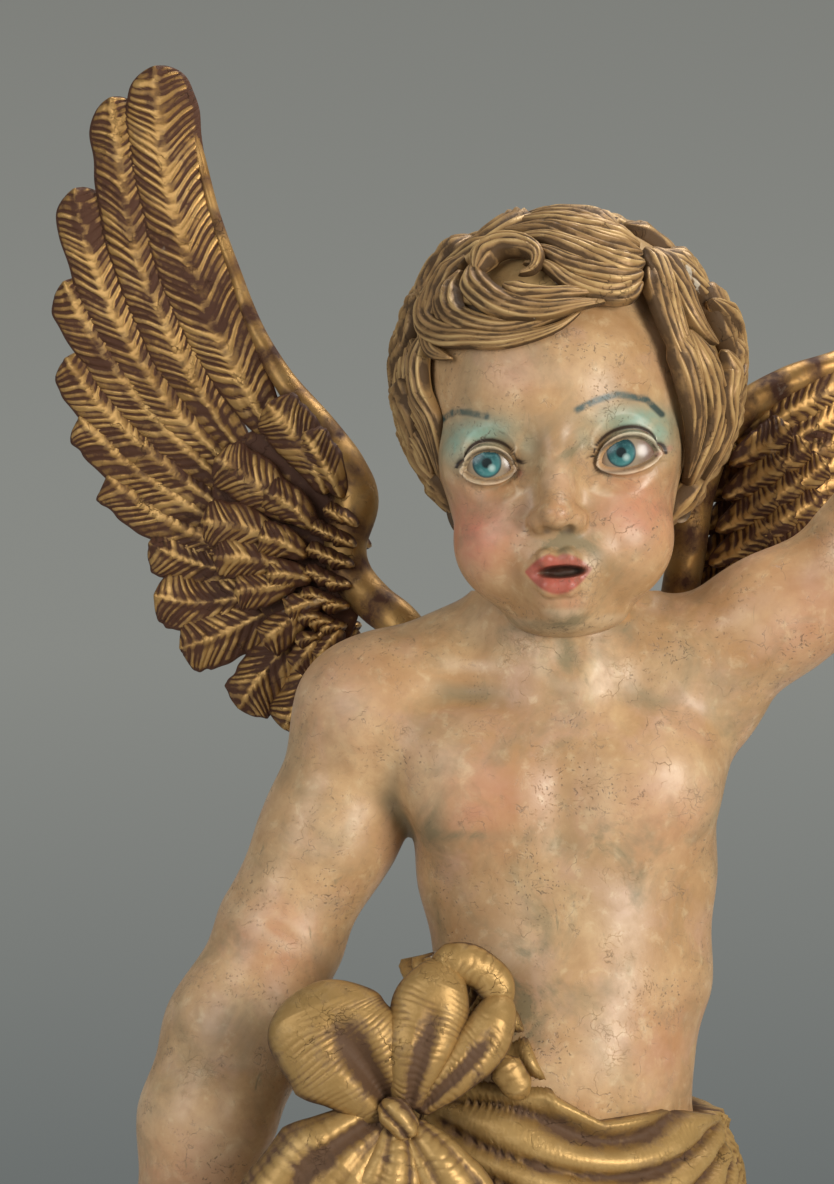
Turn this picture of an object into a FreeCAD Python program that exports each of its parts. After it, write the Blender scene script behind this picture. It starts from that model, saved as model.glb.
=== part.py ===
"""Resin angel figurine: a standing putto on a turned base, in millimetres.

The row frame: +Z up, the figure looks along -Y, its left side is +X, and the origin is the centre of the felt's
underside. Two seams carry the rest: the hip seam, at the leg's length above the base, and the neck seam, at the
torso's length above that. The figure is cast in separate pieces, which are dowelled and glued on those seams.
"""
import FreeCAD
import Part
import Sketcher

import math
import os

V = FreeCAD.Vector
X_AXIS, Y_AXIS, Z_AXIS = V(1, 0, 0), V(0, 1, 0), V(0, 0, 1)

doc = FreeCAD.newDocument("angel_figurine")
sheet = doc.addObject("Spreadsheet::Sheet", "Sizes")

# ---------------------------------------------------------------- sizes

PLAIN_SIZES = {
    # base and what is under it
    "felt_inset": 7, "felt_thickness": 1.5,
    "base_height": 28.5, "base_radius": 75, "base_foot_height": 8, "base_waist_inset": 9,
    "base_lip_inset": 5, "base_lip_height": 6, "base_rounding": 2.1,
    # steel rods that hold the legs to the base
    "rod_radius": 2.5, "rod_clearance": 0.15, "rod_reach": 30, "rod_below_nut": 1.5, "thread_clearance": 0.05,
    "recess_radius": 8, "recess_depth": 9, "washer_radius": 6.5, "washer_thickness": 1.2,
    "nut_corner_radius": 4.6, "nut_height": 4,
    # shells, seams and dowels
    "leg_length": 145, "torso_length": 133,
    "body_wall": 5, "head_wall": 6, "glue_gap": 0.3, "pelvis_floor": 36, "neck_floor": 18,
    "dowel_clearance": 0.1, "neck_dowel_radius": 4, "neck_dowel_length": 26,
    "arm_dowel_radius": 3, "shoulder_dowel_length": 18, "elbow_dowel_length": 16,
    "wing_dowel_radius": 2, "wing_dowel_length": 13, "wing_dowel_pitch": 11, "wing_dowel_sink": 3.5,
    "arm_seam_depth": 2.5, "shoulder_ball_margin": 0.2,
    # head, placed from the neck seam
    "neck_radius": 15.5, "neck_rise": 20, "neck_y": -1.5,
    "skull_x": 2.5, "skull_y": 0, "skull_rise": 53, "skull_width": 34, "skull_depth": 37, "skull_height": 36,
    "face_x": 1, "face_y": -13, "face_rise": 27, "face_width": 25.5, "face_depth": 26, "face_height": 26,
    # feet
    "foot_length": 27, "foot_width": 11, "foot_height": 12, "foot_lift": 4.2, "foot_forward": 15, "toe_out": 14,
    # hands
    "palm_thickness": 5, "palm_width": 9, "palm_length": 11.5, "palm_forward": 8.6,
    "finger_radius": 3.1, "finger_tip_radius": 2.2, "finger_length": 15, "finger_forward": 5.2,
    "finger_pitch": 4.6, "finger_spread": 0.02, "thumb_length": 12, "thumb_back": 2, "thumb_aside": 6.3,
    "thumb_spread": 0.55,
    # loincloth
    "cloth_thickness": 5, "cloth_rim_rise": 46, "cloth_rim_x": -4, "cloth_slope": 18, "lap_drop": 27,
    "lap_side_clearance": 4, "lap_depth_clearance": 8.5,
    # wings, placed from the neck seam
    "wing_sweep": 16, "wing_arm": 50, "wing_plate": 4, "covert_plate": 3, "covert_share": 0.5,
    "leading_edge_radius": 4.6, "tip_edge_radius": 1.8, "wing_root_radius": 9, "wing_root_length": 9,
    "shoulder_blade_x": 19, "shoulder_blade_drop": 17, "wing_standoff": 1,
}

# share of the torso's length, sideways shift, half width, half depth of each cross-section
TORSO = {
    "seat": (0, -6, 38, 27), "hips": (0.128, -7, 39, 29), "belly": (0.248, -6, 35.5, 28.5),
    "navel": (0.376, -2, 31.5, 27), "waist": (0.504, 3, 29.8, 26), "ribs": (0.639, 0.5, 34, 27),
    "chest": (0.759, 0, 35, 26), "shoulders": (0.865, -1, 34.5, 23.5), "collar": (0.947, -0.5, 29, 19.5),
    "neck": (1, 1, 19, 17),
}
# share of the leg's length, x, y, half width, half depth
RIGHT_LEG = {
    "top": (1, -25, 0, 19.6, 24), "thigh": (0.855, -25.5, -1, 19.8, 23.5),
    "lower_thigh": (0.676, -24, -1, 18.2, 20.5), "knee": (0.51, -23, -1.5, 15.8, 17),
    "shin": (0.414, -22.8, 0, 15.4, 16), "calf": (0.31, -22.5, 2, 15.8, 16.6),
    "lower_calf": (0.186, -21.8, 2, 12.8, 13.6), "ankle": (0.09, -21.5, 1, 10.8, 11.6),
    "heel": (0, -21.5, 1, 10.2, 12),
}
LEFT_LEG = {
    "top": (1, 14, 0, 18.6, 23.5), "thigh": (0.855, 16, -2, 19, 23),
    "lower_thigh": (0.676, 18.5, -5.5, 17.8, 20.2), "knee": (0.51, 21, -8, 15.6, 16.8),
    "shin": (0.414, 21.5, -6.5, 15.2, 15.8), "calf": (0.31, 22, -3.5, 15.6, 16.4),
    "lower_calf": (0.186, 22.5, -1.5, 12.6, 13.4), "ankle": (0.09, 22.5, -1, 10.8, 11.6),
    "heel": (0, 22.5, -1, 10.2, 12),
}
# height over the neck seam, distance out from the shoulder seam, y, radius; the hand starts at the wrist
RIGHT_ARM = {
    "shoulder": (-17, 9, 2, 15.3), "biceps": (-40, 16.5, 2, 14.3), "elbow": (-65, 25.5, 1, 13.9),
    "forearm": (-86, 36.5, 0, 14.4), "lower_forearm": (-108, 43, -2, 13.8), "wrist": (-130, 48.5, -4, 9.6),
}
LEFT_ARM = {
    "shoulder": (-9, -6, 0, 14), "biceps": (3, 14, -3, 12.3), "elbow": (15, 34, -8, 11.8),
    "forearm": (31, 42.5, -12, 11.6), "lower_forearm": (48, 48, -16, 10.4), "wrist": (65, 53, -19, 7.8),
}
# degrees round the hips from the front to the right, how far its middle stands off the hips' own cloth, height
# over the hip seam, half length, half width, half thickness, and its lean from upright in the front view
BOW = {
    "knot": (36, 5, 31, 12, 11, 8.5, 12), "right_loop": (46, 6, 45, 19, 13, 8.5, -33),
    "left_loop": (23, 3, 45, 18, 12, 8.5, 31), "right_tail": (48, 5, 16, 20, 9, 7.5, 22),
    "left_tail": (28, 4, 14, 20, 9, 7.5, -10),
}
# how far each wing's arm and its feather fan turn outwards in degrees, and the fan's own lengths
WINGS = {
    "right": (32, 23, 166, 108, 50, 48), "left": (16, 58, 160, 98, 50, 30),
}
FEATHERS = 13
# how the fan's lengths and angles run from the first feather to the last
LONG_SHARE, LONG_FALL, ANGLE_CROWDING = 0.55, 1.3, 1.12

TABLES = {
    "torso": (TORSO, ("share", "x", "width", "depth")),
    "right_leg": (RIGHT_LEG, ("share", "x", "y", "width", "depth")),
    "left_leg": (LEFT_LEG, ("share", "x", "y", "width", "depth")),
    "right_arm": (RIGHT_ARM, ("rise", "out", "y", "radius")),
    "left_arm": (LEFT_ARM, ("rise", "out", "y", "radius")),
    "bow": (BOW, ("turn", "proud", "rise", "length", "width", "thickness", "lean")),
    "wing": (WINGS, ("arm_turn", "fan_first", "fan_last", "long", "middle", "short")),
}


def write_sizes():
    """Fills the sheet: one row per size, an alias in column A and its number in column B."""
    named = dict(PLAIN_SIZES)
    for prefix, (table, words) in TABLES.items():
        for station, values in table.items():
            named.update({f"{prefix}_{station}_{word}": value for word, value in zip(words, values)})
    for row, (alias, value) in enumerate(named.items(), start=1):
        sheet.set(f"A{row}", alias)
        sheet.set(f"B{row}", str(value))
        sheet.setAlias(f"B{row}", alias)
    doc.recompute()


def size(alias):
    """A number from the sheet, for what is worked out in code."""
    return float(sheet.get(alias))


# ---------------------------------------------------------------- small helpers

GROUND = "(Sizes.felt_thickness + Sizes.base_height)"
HIPS = f"({GROUND} + Sizes.leg_length)"
NECK = f"({HIPS} + Sizes.torso_length)"
ROD_HOLE = "Sizes.rod_radius + Sizes.rod_clearance"
LOFT_DEGREE = 3
SIGNS = {"right": -1, "left": 1}
BEYOND = 300


def ground():
    return size("felt_thickness") + size("base_height")


def hips():
    return ground() + size("leg_length")


def neck():
    return hips() + size("torso_length")


def add(kind, name, place=None, **bindings):
    """A document object whose properties are bound to expressions, and whose place is three expressions."""
    made = doc.addObject(kind, name)
    for prop, expression in bindings.items():
        made.setExpression(prop, str(expression))
    for axis, expression in zip("xyz", place or ()):
        made.setExpression(f"Placement.Base.{axis}", str(expression))
    return made


def fuse(name, shapes):
    made = doc.addObject("Part::MultiFuse", name)
    made.Shapes = shapes
    return made


def cut(name, base, tool):
    made = doc.addObject("Part::Cut", name)
    made.Base = base
    made.Tool = tool
    return made


def group(name, shapes):
    """Identical loose pieces that share one node."""
    made = doc.addObject("Part::Compound", name)
    made.Links = shapes
    return made


def turned(made, axis, degrees):
    made.Placement.Rotation = FreeCAD.Rotation(axis, degrees)
    return made


def aim(direction):
    """The rotation that carries +Z onto a direction."""
    return FreeCAD.Rotation(Z_AXIS, direction)


def box_between(name, low, high):
    """A box from one corner to the other, both given as three expressions."""
    sides = [f"({b}) - ({a})" for a, b in zip(low, high)]
    return add("Part::Box", name, low, Length=sides[0], Width=sides[1], Height=sides[2])


def level_ellipse(name, x, y, z, half_x, half_y, wide):
    """An ellipse in a level plane, whose longer axis may be either way."""
    major, minor = (half_x, half_y) if wide else (half_y, half_x)
    made = add("Part::Ellipse", name, (x, y, z), MajorRadius=major, MinorRadius=minor)
    return made if wide else turned(made, Z_AXIS, 90)


def torso_loft(name, grow="0"):
    """The torso's own outside, or a surface at a distance from it."""
    sections = []
    for station in TORSO:
        cell = f"Sizes.torso_{station}"
        wide = size(f"torso_{station}_width") >= size(f"torso_{station}_depth")
        sections.append(level_ellipse(
            f"{name}_{station}", f"{cell}_x", "0", f"{cell}_share * Sizes.torso_length + {HIPS}",
            f"{cell}_width + ({grow})", f"{cell}_depth + ({grow})", wide,
        ))
    return loft(name, sections)


def loft(name, sections):
    """A solid through the sections, of a low degree, because a higher one swings out between them."""
    made = doc.addObject("Part::Loft", name)
    made.Sections = sections
    made.Solid = True
    made.MaxDegree = LOFT_DEGREE
    return made


def shoulder_seam_x(side):
    """The upright plane where an arm meets the torso, a little inside the shoulder's widest place."""
    reach = size("torso_shoulders_width") - size("arm_seam_depth")
    return size("torso_shoulders_x") + SIGNS[side] * reach


def arm_points(side):
    """The centre of each station of an arm, in the row frame."""
    table = TABLES[f"{side}_arm"][0]
    return {
        station: V(
            shoulder_seam_x(side) + SIGNS[side] * size(f"{side}_arm_{station}_out"),
            size(f"{side}_arm_{station}_y"),
            neck() + size(f"{side}_arm_{station}_rise"),
        )
        for station in table
    }


def arm_loft(name, side, stations):
    """A loft of circles, each square to the arm there, so that two pieces meet on the same circle."""
    points = arm_points(side)
    order = list(points)
    sections = []
    for station in stations:
        i = order.index(station)
        before = points[order[max(i - 1, 0)]]
        after = points[order[min(i + 1, len(order) - 1)]]
        circle = add("Part::Circle", f"{name}_{station}", Radius=f"Sizes.{side}_arm_{station}_radius")
        circle.Placement = FreeCAD.Placement(points[station], aim(after - before))
        sections.append(circle)
    return loft(name, sections)


def peg(name, radius, length, centre, direction, extra="0"):
    """A dowel or its hole, centred on a point."""
    made = add("Part::Cylinder", name, Radius=f"{radius} + {extra}", Height=f"{length} + 2 * {extra}")
    doc.recompute()
    unit = V(direction).normalize()
    made.Placement = FreeCAD.Placement(V(centre) - unit * (float(made.Height) / 2), aim(unit))
    return made


# ---------------------------------------------------------------- base, felt and rods

RODS = {side: (f"Sizes.{side}_leg_ankle_x", f"Sizes.{side}_leg_ankle_y") for side in SIGNS}
RECESS_TOP = "Sizes.felt_thickness + Sizes.recess_depth"


def origin_plane(body, role):
    return next(f for f in body.Origin.OriginFeatures if f.Role == role)


def base_plinth():
    """A turned base: foot, hollowed waist and lip, with a recess and a hole for each rod."""
    body = doc.addObject("PartDesign::Body", "base_body")
    profile = body.newObject("Sketcher::SketchObject", "base_profile")
    profile.AttachmentSupport = [(origin_plane(body, "XZ_Plane"), "")]
    profile.MapMode = "FlatFace"
    low, top = size("felt_thickness"), ground()
    foot = size("base_radius")
    waist, lip = foot - size("base_waist_inset"), foot - size("base_lip_inset")
    foot_top, lip_low = low + size("base_foot_height"), top - size("base_lip_height")
    corners = [V(0, low), V(foot, low), V(foot, foot_top), V(waist, foot_top), V(waist, lip_low), V(lip, lip_low),
               V(lip, top), V(0, top)]
    for start, end in zip(corners, corners[1:] + corners[:1]):
        profile.addGeometry(Part.LineSegment(start, end), False)
    for edge in range(len(corners)):
        profile.addConstraint(Sketcher.Constraint("Coincident", edge, 2, (edge + 1) % len(corners), 1))
    radii = {1: "Sizes.base_radius", 3: "Sizes.base_radius - Sizes.base_waist_inset",
             5: "Sizes.base_radius - Sizes.base_lip_inset"}
    heights = {0: "Sizes.felt_thickness", 2: "Sizes.felt_thickness + Sizes.base_foot_height",
               4: f"{GROUND} - Sizes.base_lip_height", 6: GROUND}
    for edge, radius in radii.items():
        number = profile.addConstraint(Sketcher.Constraint("DistanceX", -1, 1, edge, 1, corners[edge].x))
        profile.setExpression(f"Constraints[{number}]", radius)
    for edge, height in heights.items():
        number = profile.addConstraint(Sketcher.Constraint("DistanceY", -1, 1, edge, 1, corners[edge].y))
        profile.setExpression(f"Constraints[{number}]", height)
    profile.addConstraint(Sketcher.Constraint("PointOnObject", len(corners) - 1, 1, -2))
    for edge in range(len(corners)):
        kind = "Horizontal" if edge % 2 == 0 else "Vertical"
        profile.addConstraint(Sketcher.Constraint(kind, edge))
    turning = body.newObject("PartDesign::Revolution", "base_turning")
    turning.Profile = profile
    turning.ReferenceAxis = (profile, ["V_Axis"])
    turning.Angle = 360
    doc.recompute()
    rounded = body.newObject("PartDesign::Fillet", "base_rounding")
    rounded.Base = (turning, [
        f"Edge{i}" for i, edge in enumerate(turning.Shape.Edges, start=1)
        if edge.Curve.TypeId == "Part::GeomCircle"
        and edge.Curve.Radius > (waist + lip) / 2 and edge.CenterOfMass.z > (low + foot_top) / 2
    ])
    rounded.setExpression("Radius", "Sizes.base_rounding")
    doc.recompute()
    holes = []
    for side, (x, y) in RODS.items():
        holes.append(add("Part::Cylinder", f"base_hole_{side}", (x, y, "0"), Radius=ROD_HOLE, Height=HIPS))
        holes.append(add("Part::Cylinder", f"base_recess_{side}", (x, y, "0"),
                         Radius="Sizes.recess_radius", Height=RECESS_TOP))
    return cut("base_plinth", body, fuse("base_holes", holes))


def base_felt():
    return add("Part::Cylinder", "base_felt", ("0", "0", "0"), Radius="Sizes.base_radius - Sizes.felt_inset",
               Height="Sizes.felt_thickness")


def fastenings():
    """The two rods, each with a washer and a nut in its recess."""
    nut_top = f"{RECESS_TOP} - Sizes.washer_thickness"
    rods, washers, nuts = [], [], []
    rod_low = f"{nut_top} - Sizes.nut_height - Sizes.rod_below_nut"
    for side, (x, y) in RODS.items():
        rods.append(add("Part::Cylinder", f"rod_{side}", (x, y, rod_low), Radius="Sizes.rod_radius",
                        Height=f"{HIPS} + Sizes.rod_reach - ({rod_low})"))
        hole = add("Part::Cylinder", f"thread_{side}", (x, y, "0"),
                   Radius="Sizes.rod_radius + Sizes.thread_clearance", Height=RECESS_TOP)
        disc = add("Part::Cylinder", f"washer_disc_{side}", (x, y, nut_top), Radius="Sizes.washer_radius",
                   Height="Sizes.washer_thickness")
        washers.append(cut(f"washer_{side}", disc, hole))
        hexagon = add("Part::Prism", f"nut_hexagon_{side}", (x, y, f"{nut_top} - Sizes.nut_height"),
                      Circumradius="Sizes.nut_corner_radius", Height="Sizes.nut_height")
        nuts.append(cut(f"nut_{side}", hexagon, hole))
    return [group("leg_rods", rods), group("rod_washers", washers), group("rod_nuts", nuts)]


# ---------------------------------------------------------------- legs and torso

def leg(side):
    """A leg from the flat hip seam down to the sole, with its foot turned out and a hole for the rod."""
    sections = []
    for station in TABLES[f"{side}_leg"][0]:
        cell = f"Sizes.{side}_leg_{station}"
        wide = size(f"{side}_leg_{station}_width") >= size(f"{side}_leg_{station}_depth")
        sections.append(level_ellipse(
            f"{side}_leg_{station}", f"{cell}_x", f"{cell}_y", f"{cell}_share * Sizes.leg_length + {GROUND}",
            f"{cell}_width", f"{cell}_depth", wide,
        ))
    limb = loft(f"{side}_leg_limb", sections)
    angle = math.radians(size("toe_out")) * SIGNS[side]
    heel = V(size(f"{side}_leg_heel_x"), size(f"{side}_leg_heel_y"), ground())
    forward = V(math.sin(angle), -math.cos(angle), 0) * size("foot_forward")
    foot = add("Part::Ellipsoid", f"{side}_foot", Radius1="Sizes.foot_height", Radius2="Sizes.foot_width",
               Radius3="Sizes.foot_length")
    foot.Placement = FreeCAD.Placement(heel + forward + V(0, 0, size("foot_lift")),
                                       FreeCAD.Rotation(Z_AXIS, math.degrees(angle)))
    below = box_between(f"{side}_floor", (-BEYOND, -BEYOND, -BEYOND), (BEYOND, BEYOND, GROUND))
    solid = cut(f"{side}_leg_on_floor", fuse(f"{side}_leg_whole", [limb, foot]), below)
    bore = add("Part::Cylinder", f"{side}_leg_bore", (*RODS[side], "0"), Radius=ROD_HOLE, Height=NECK)
    return cut(f"{side}_leg", solid, bore)


def torso(arm_pieces):
    """A hollow shell between the hip seam and the neck seam, with a solid pelvis and shoulder girdle."""
    window = box_between("torso_window", (-BEYOND, -BEYOND, f"{HIPS} + Sizes.pelvis_floor"),
                         (BEYOND, BEYOND, f"{NECK} - Sizes.neck_floor"))
    hollow = doc.addObject("Part::Common", "torso_hollow")
    hollow.Base = torso_loft("torso_core", "-Sizes.body_wall")
    hollow.Tool = window
    away = [hollow, neck_peg("torso_neck_hole", CLEAR), *arm_pieces]
    for side, (x, y) in RODS.items():
        away.append(add("Part::Cylinder", f"torso_rod_hole_{side}", (x, y, "0"), Radius=ROD_HOLE,
                        Height=f"{HIPS} + Sizes.rod_reach + Sizes.rod_clearance"))
        away.append(shoulder_peg("torso_shoulder_hole", side, CLEAR))
        away += wing_pegs("torso_wing_hole", side, CLEAR)
    return cut("torso", torso_loft("torso_outside"), fuse("torso_away", away))


CLEAR = "Sizes.dowel_clearance"


def neck_peg(name, extra="0"):
    return peg(name, "Sizes.neck_dowel_radius", "Sizes.neck_dowel_length",
               V(size("torso_neck_x"), size("neck_y"), neck()), Z_AXIS, extra)


def shoulder_peg(name, side, extra="0"):
    """Level and square to the shoulder seam, where the arm's own line crosses it."""
    points = arm_points(side)
    start, end = points["shoulder"], points["biceps"]
    seam = shoulder_seam_x(side)
    share = max(0, (seam - start.x) / (end.x - start.x))
    crossing = start + (end - start) * share
    return peg(f"{name}_{side}", "Sizes.arm_dowel_radius", "Sizes.shoulder_dowel_length",
               V(seam, crossing.y, crossing.z), X_AXIS, extra)


def elbow_peg(name, side, extra="0"):
    points = arm_points(side)
    return peg(f"{name}_{side}", "Sizes.arm_dowel_radius", "Sizes.elbow_dowel_length", points["elbow"],
               points["forearm"] - points["biceps"], extra)


def shoulder_blade(side):
    """Where a wing's flat middle plane meets the line straight back from its shoulder blade."""
    return V(SIGNS[side] * size("shoulder_blade_x"),
             size("torso_chest_depth") + size("wing_standoff") + size("glue_gap"),
             neck() - size("shoulder_blade_drop"))


def wing_pegs(name, side, extra="0"):
    """Two pegs behind a shoulder blade, one above the other, straight through the back's wall."""
    middle = shoulder_blade(side) - V(0, size("wing_dowel_sink"), 0)
    step = V(0, 0, size("wing_dowel_pitch") / 2)
    return [
        peg(f"{name}_{side}_{row}", "Sizes.wing_dowel_radius", "Sizes.wing_dowel_length", place, Y_AXIS, extra)
        for row, place in (("low", middle - step), ("high", middle + step))
    ]


# ---------------------------------------------------------------- head, arms and hands

def head():
    """Skull, face and neck in one hollow casting, which sits on the torso's neck seam."""
    skull = add("Part::Ellipsoid", "skull", ("Sizes.skull_x", "Sizes.skull_y", f"Sizes.skull_rise + {NECK}"),
                Radius1="Sizes.skull_height", Radius2="Sizes.skull_width", Radius3="Sizes.skull_depth")
    face = add("Part::Ellipsoid", "face", ("Sizes.face_x", "Sizes.face_y", f"Sizes.face_rise + {NECK}"),
               Radius1="Sizes.face_height", Radius2="Sizes.face_width", Radius3="Sizes.face_depth")
    stem = add("Part::Cylinder", "head_stem", ("Sizes.torso_neck_x", "Sizes.neck_y", NECK),
               Radius="Sizes.neck_radius", Height="Sizes.neck_rise")
    hollow = add("Part::Ellipsoid", "skull_hollow",
                 ("Sizes.skull_x", "Sizes.skull_y", f"Sizes.skull_rise + {NECK} + 0.5 * Sizes.head_wall"),
                 Radius1="Sizes.skull_height - 1.5 * Sizes.head_wall", Radius2="Sizes.skull_width - Sizes.head_wall",
                 Radius3="Sizes.skull_depth - Sizes.head_wall")
    return cut("head", fuse("head_whole", [skull, face, stem]),
               fuse("head_away", [hollow, neck_peg("head_neck_hole", CLEAR)]))


def hand(side, flat_axis):
    """A palm with four fingers and a thumb, along the line from the lower forearm to the wrist."""
    points = arm_points(side)
    wrist = points["wrist"]
    along = (wrist - points["lower_forearm"]).normalize()
    across = flat_axis.cross(along).normalize()
    normal = along.cross(across).normalize()
    palm_centre = wrist + along * size("palm_forward")
    palm = add("Part::Ellipsoid", f"{side}_palm", Radius1="Sizes.palm_length", Radius2="Sizes.palm_width",
               Radius3="Sizes.palm_thickness")
    palm.Placement = FreeCAD.Placement(palm_centre, FreeCAD.Rotation(across, normal, along, "ZXY"))
    digits = [palm]
    knuckles = palm_centre + along * size("finger_forward")
    for number in range(4):
        aside = (number - 1.5) * size("finger_pitch")
        way = along + across * (aside * size("finger_spread"))
        digits.append(digit(f"{side}_finger_{number + 1}", knuckles + across * aside, way, "Sizes.finger_length"))
    thumb_start = palm_centre - along * size("thumb_back") - across * size("thumb_aside")
    thumb_way = along - across * size("thumb_spread")
    digits.append(digit(f"{side}_thumb", thumb_start, thumb_way, "Sizes.thumb_length"))
    return digits


def digit(name, start, way, length):
    made = add("Part::Cone", name, Radius1="Sizes.finger_radius", Radius2="Sizes.finger_tip_radius", Height=length)
    made.Placement = FreeCAD.Placement(start, aim(way))
    return made


def upper_arm(side):
    """From the shoulder seam to the elbow seam, undrilled. A hanging arm's shoulder is rounded by a ball."""
    whole = arm_loft(f"{side}_upper_limb", side, ("shoulder", "biceps", "elbow"))
    if size(f"{side}_arm_shoulder_out") > 0:
        centre = arm_points(side)["shoulder"]
        ball = add("Part::Sphere", f"{side}_shoulder_ball",
                   Radius=f"Sizes.{side}_arm_shoulder_radius + Sizes.shoulder_ball_margin")
        ball.Placement.Base = centre
        whole = fuse(f"{side}_upper_whole", [whole, ball])
    inside = add("Part::Box", f"{side}_shoulder_inside", Length=BEYOND, Width=BEYOND, Height=BEYOND)
    low_x = shoulder_seam_x(side) - (BEYOND if side == "left" else 0)
    inside.Placement.Base = V(low_x, -BEYOND / 2, neck() - BEYOND / 2)
    return cut(f"{side}_upper_outer", whole, inside)


def drilled_upper_arm(side, outer):
    pegs = fuse(f"{side}_upper_holes", [shoulder_peg("upper_shoulder_hole", side, CLEAR),
                                        elbow_peg("upper_elbow_hole", side, CLEAR)])
    return cut(f"{side}_upper_arm", outer, pegs)


def forearm(side, flat_axis):
    """Forearm and hand in one casting, from the elbow seam."""
    limb = arm_loft(f"{side}_fore_limb", side, ("elbow", "forearm", "lower_forearm", "wrist"))
    whole = fuse(f"{side}_fore_whole", [limb, *hand(side, flat_axis)])
    return cut(f"{side}_forearm", whole, elbow_peg("fore_elbow_hole", side, CLEAR))


# ---------------------------------------------------------------- loincloth and bow

# the lap is the level oval that both thighs fit in
THIGH_RIGHT = "(Sizes.right_leg_thigh_x - max(Sizes.right_leg_thigh_width; Sizes.right_leg_top_width))"
THIGH_LEFT = "(Sizes.left_leg_thigh_x + max(Sizes.left_leg_thigh_width; Sizes.left_leg_top_width))"
THIGH_DEPTH = "max(" + "; ".join(
    f"Sizes.{side}_leg_{station}_depth" for side in SIGNS for station in ("top", "thigh")) + ")"
LAP_X = f"({THIGH_RIGHT} + {THIGH_LEFT}) / 2"
LAP_WIDTH = f"({THIGH_LEFT} - {THIGH_RIGHT}) / 2 + Sizes.lap_side_clearance"
LAP_DEPTH = f"{THIGH_DEPTH} + Sizes.lap_depth_clearance"


def cloth_loft(name, grow="0"):
    """The cloth's outside: its own thickness over the lap, and over the torso from the hips to the waist."""
    sections = []
    for number, drop in enumerate(("Sizes.lap_drop", "Sizes.lap_drop / 2", "0")):
        sections.append(level_ellipse(
            f"{name}_lap_{number}", LAP_X, "0", f"{HIPS} - {drop}", f"{LAP_WIDTH} + Sizes.cloth_thickness + {grow}",
            f"{LAP_DEPTH} + Sizes.cloth_thickness + {grow}", True,
        ))
    for station in ("hips", "belly", "navel", "waist"):
        cell = f"Sizes.torso_{station}"
        sections.append(level_ellipse(
            f"{name}_{station}", f"{cell}_x", "0", f"{cell}_share * Sizes.torso_length + {HIPS}",
            f"{cell}_width + Sizes.cloth_thickness + {grow}", f"{cell}_depth + Sizes.cloth_thickness + {grow}",
            size(f"torso_{station}_width") >= size(f"torso_{station}_depth"),
        ))
    return loft(name, sections)


def loincloth(torso_clear):
    """A band of modelled cloth round the hips, its rim higher on the right, hollow to clear torso and thighs."""
    lap = loft("lap_hollow", [
        level_ellipse(f"lap_{number}", LAP_X, "0", z, LAP_WIDTH, LAP_DEPTH, True)
        for number, z in enumerate((f"{HIPS} - Sizes.lap_drop - 1", f"{HIPS} + Sizes.glue_gap"))
    ])
    above = add("Part::Box", "cloth_above", Length=BEYOND, Width=BEYOND, Height=BEYOND)
    rim = V(size("cloth_rim_x"), 0, hips() + size("cloth_rim_rise"))
    slope = FreeCAD.Rotation(Y_AXIS, size("cloth_slope"))
    above.Placement = FreeCAD.Placement(rim + slope.multVec(V(-BEYOND / 2, -BEYOND / 2, 0)), slope)
    return cut("loincloth", cloth_loft("cloth_outside"), fuse("cloth_away", [lap, torso_clear, above]))


def bow(cloth_clear):
    """Two loops and two tails round a knot, in one casting that is fitted to the loincloth behind it."""
    middle_x = size("torso_hips_x")
    thickness = size("cloth_thickness")
    half_width, half_depth = size("torso_hips_width") + thickness, size("torso_hips_depth") + thickness
    lumps = []
    for name in BOW:
        turn, proud = math.radians(size(f"bow_{name}_turn")), size(f"bow_{name}_proud")
        across, forward = -(half_width + proud) * math.sin(turn), -(half_depth + proud) * math.cos(turn)
        lump = add("Part::Ellipsoid", f"bow_{name}", Radius1=f"Sizes.bow_{name}_length",
                   Radius2=f"Sizes.bow_{name}_width", Radius3=f"Sizes.bow_{name}_thickness")
        swing = FreeCAD.Rotation(Z_AXIS, math.degrees(math.atan2(across, -forward)))
        lump.Placement = FreeCAD.Placement(V(middle_x + across, forward, hips() + size(f"bow_{name}_rise")),
                                           swing * FreeCAD.Rotation(Y_AXIS, size(f"bow_{name}_lean")))
        lumps.append(lump)
    return cut("bow", fuse("bow_whole", lumps), cloth_clear)


# ---------------------------------------------------------------- wings

def fan(side):
    """Angle from upright and length of each long feather, from the leading edge down to the last one."""
    first, last, long, middle, short = (
        size(f"wing_{side}_{word}") for word in ("fan_first", "fan_last", "long", "middle", "short"))
    for number in range(FEATHERS):
        share = number / (FEATHERS - 1)
        fall = math.cos(min(share / LONG_SHARE, 1) * math.pi / 2) ** LONG_FALL
        angle = first + (last - first) * share ** ANGLE_CROWDING
        yield angle, middle + (long - middle) * fall + (short - middle) * share ** 2


def polar(centre, degrees, length):
    """A point in the wing's plane, at an angle from upright towards the wing's tip side."""
    turn = math.radians(degrees)
    return V(centre.x + math.sin(turn) * length, centre.y + math.cos(turn) * length, 0)


# the valley between two feathers, and how the outline's two ends turn and shorten past the end feathers
VALLEY_SHARE, END_TURN, FIRST_SHARE, LAST_SHARE = 0.93, 9, 0.82, 0.7


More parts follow.
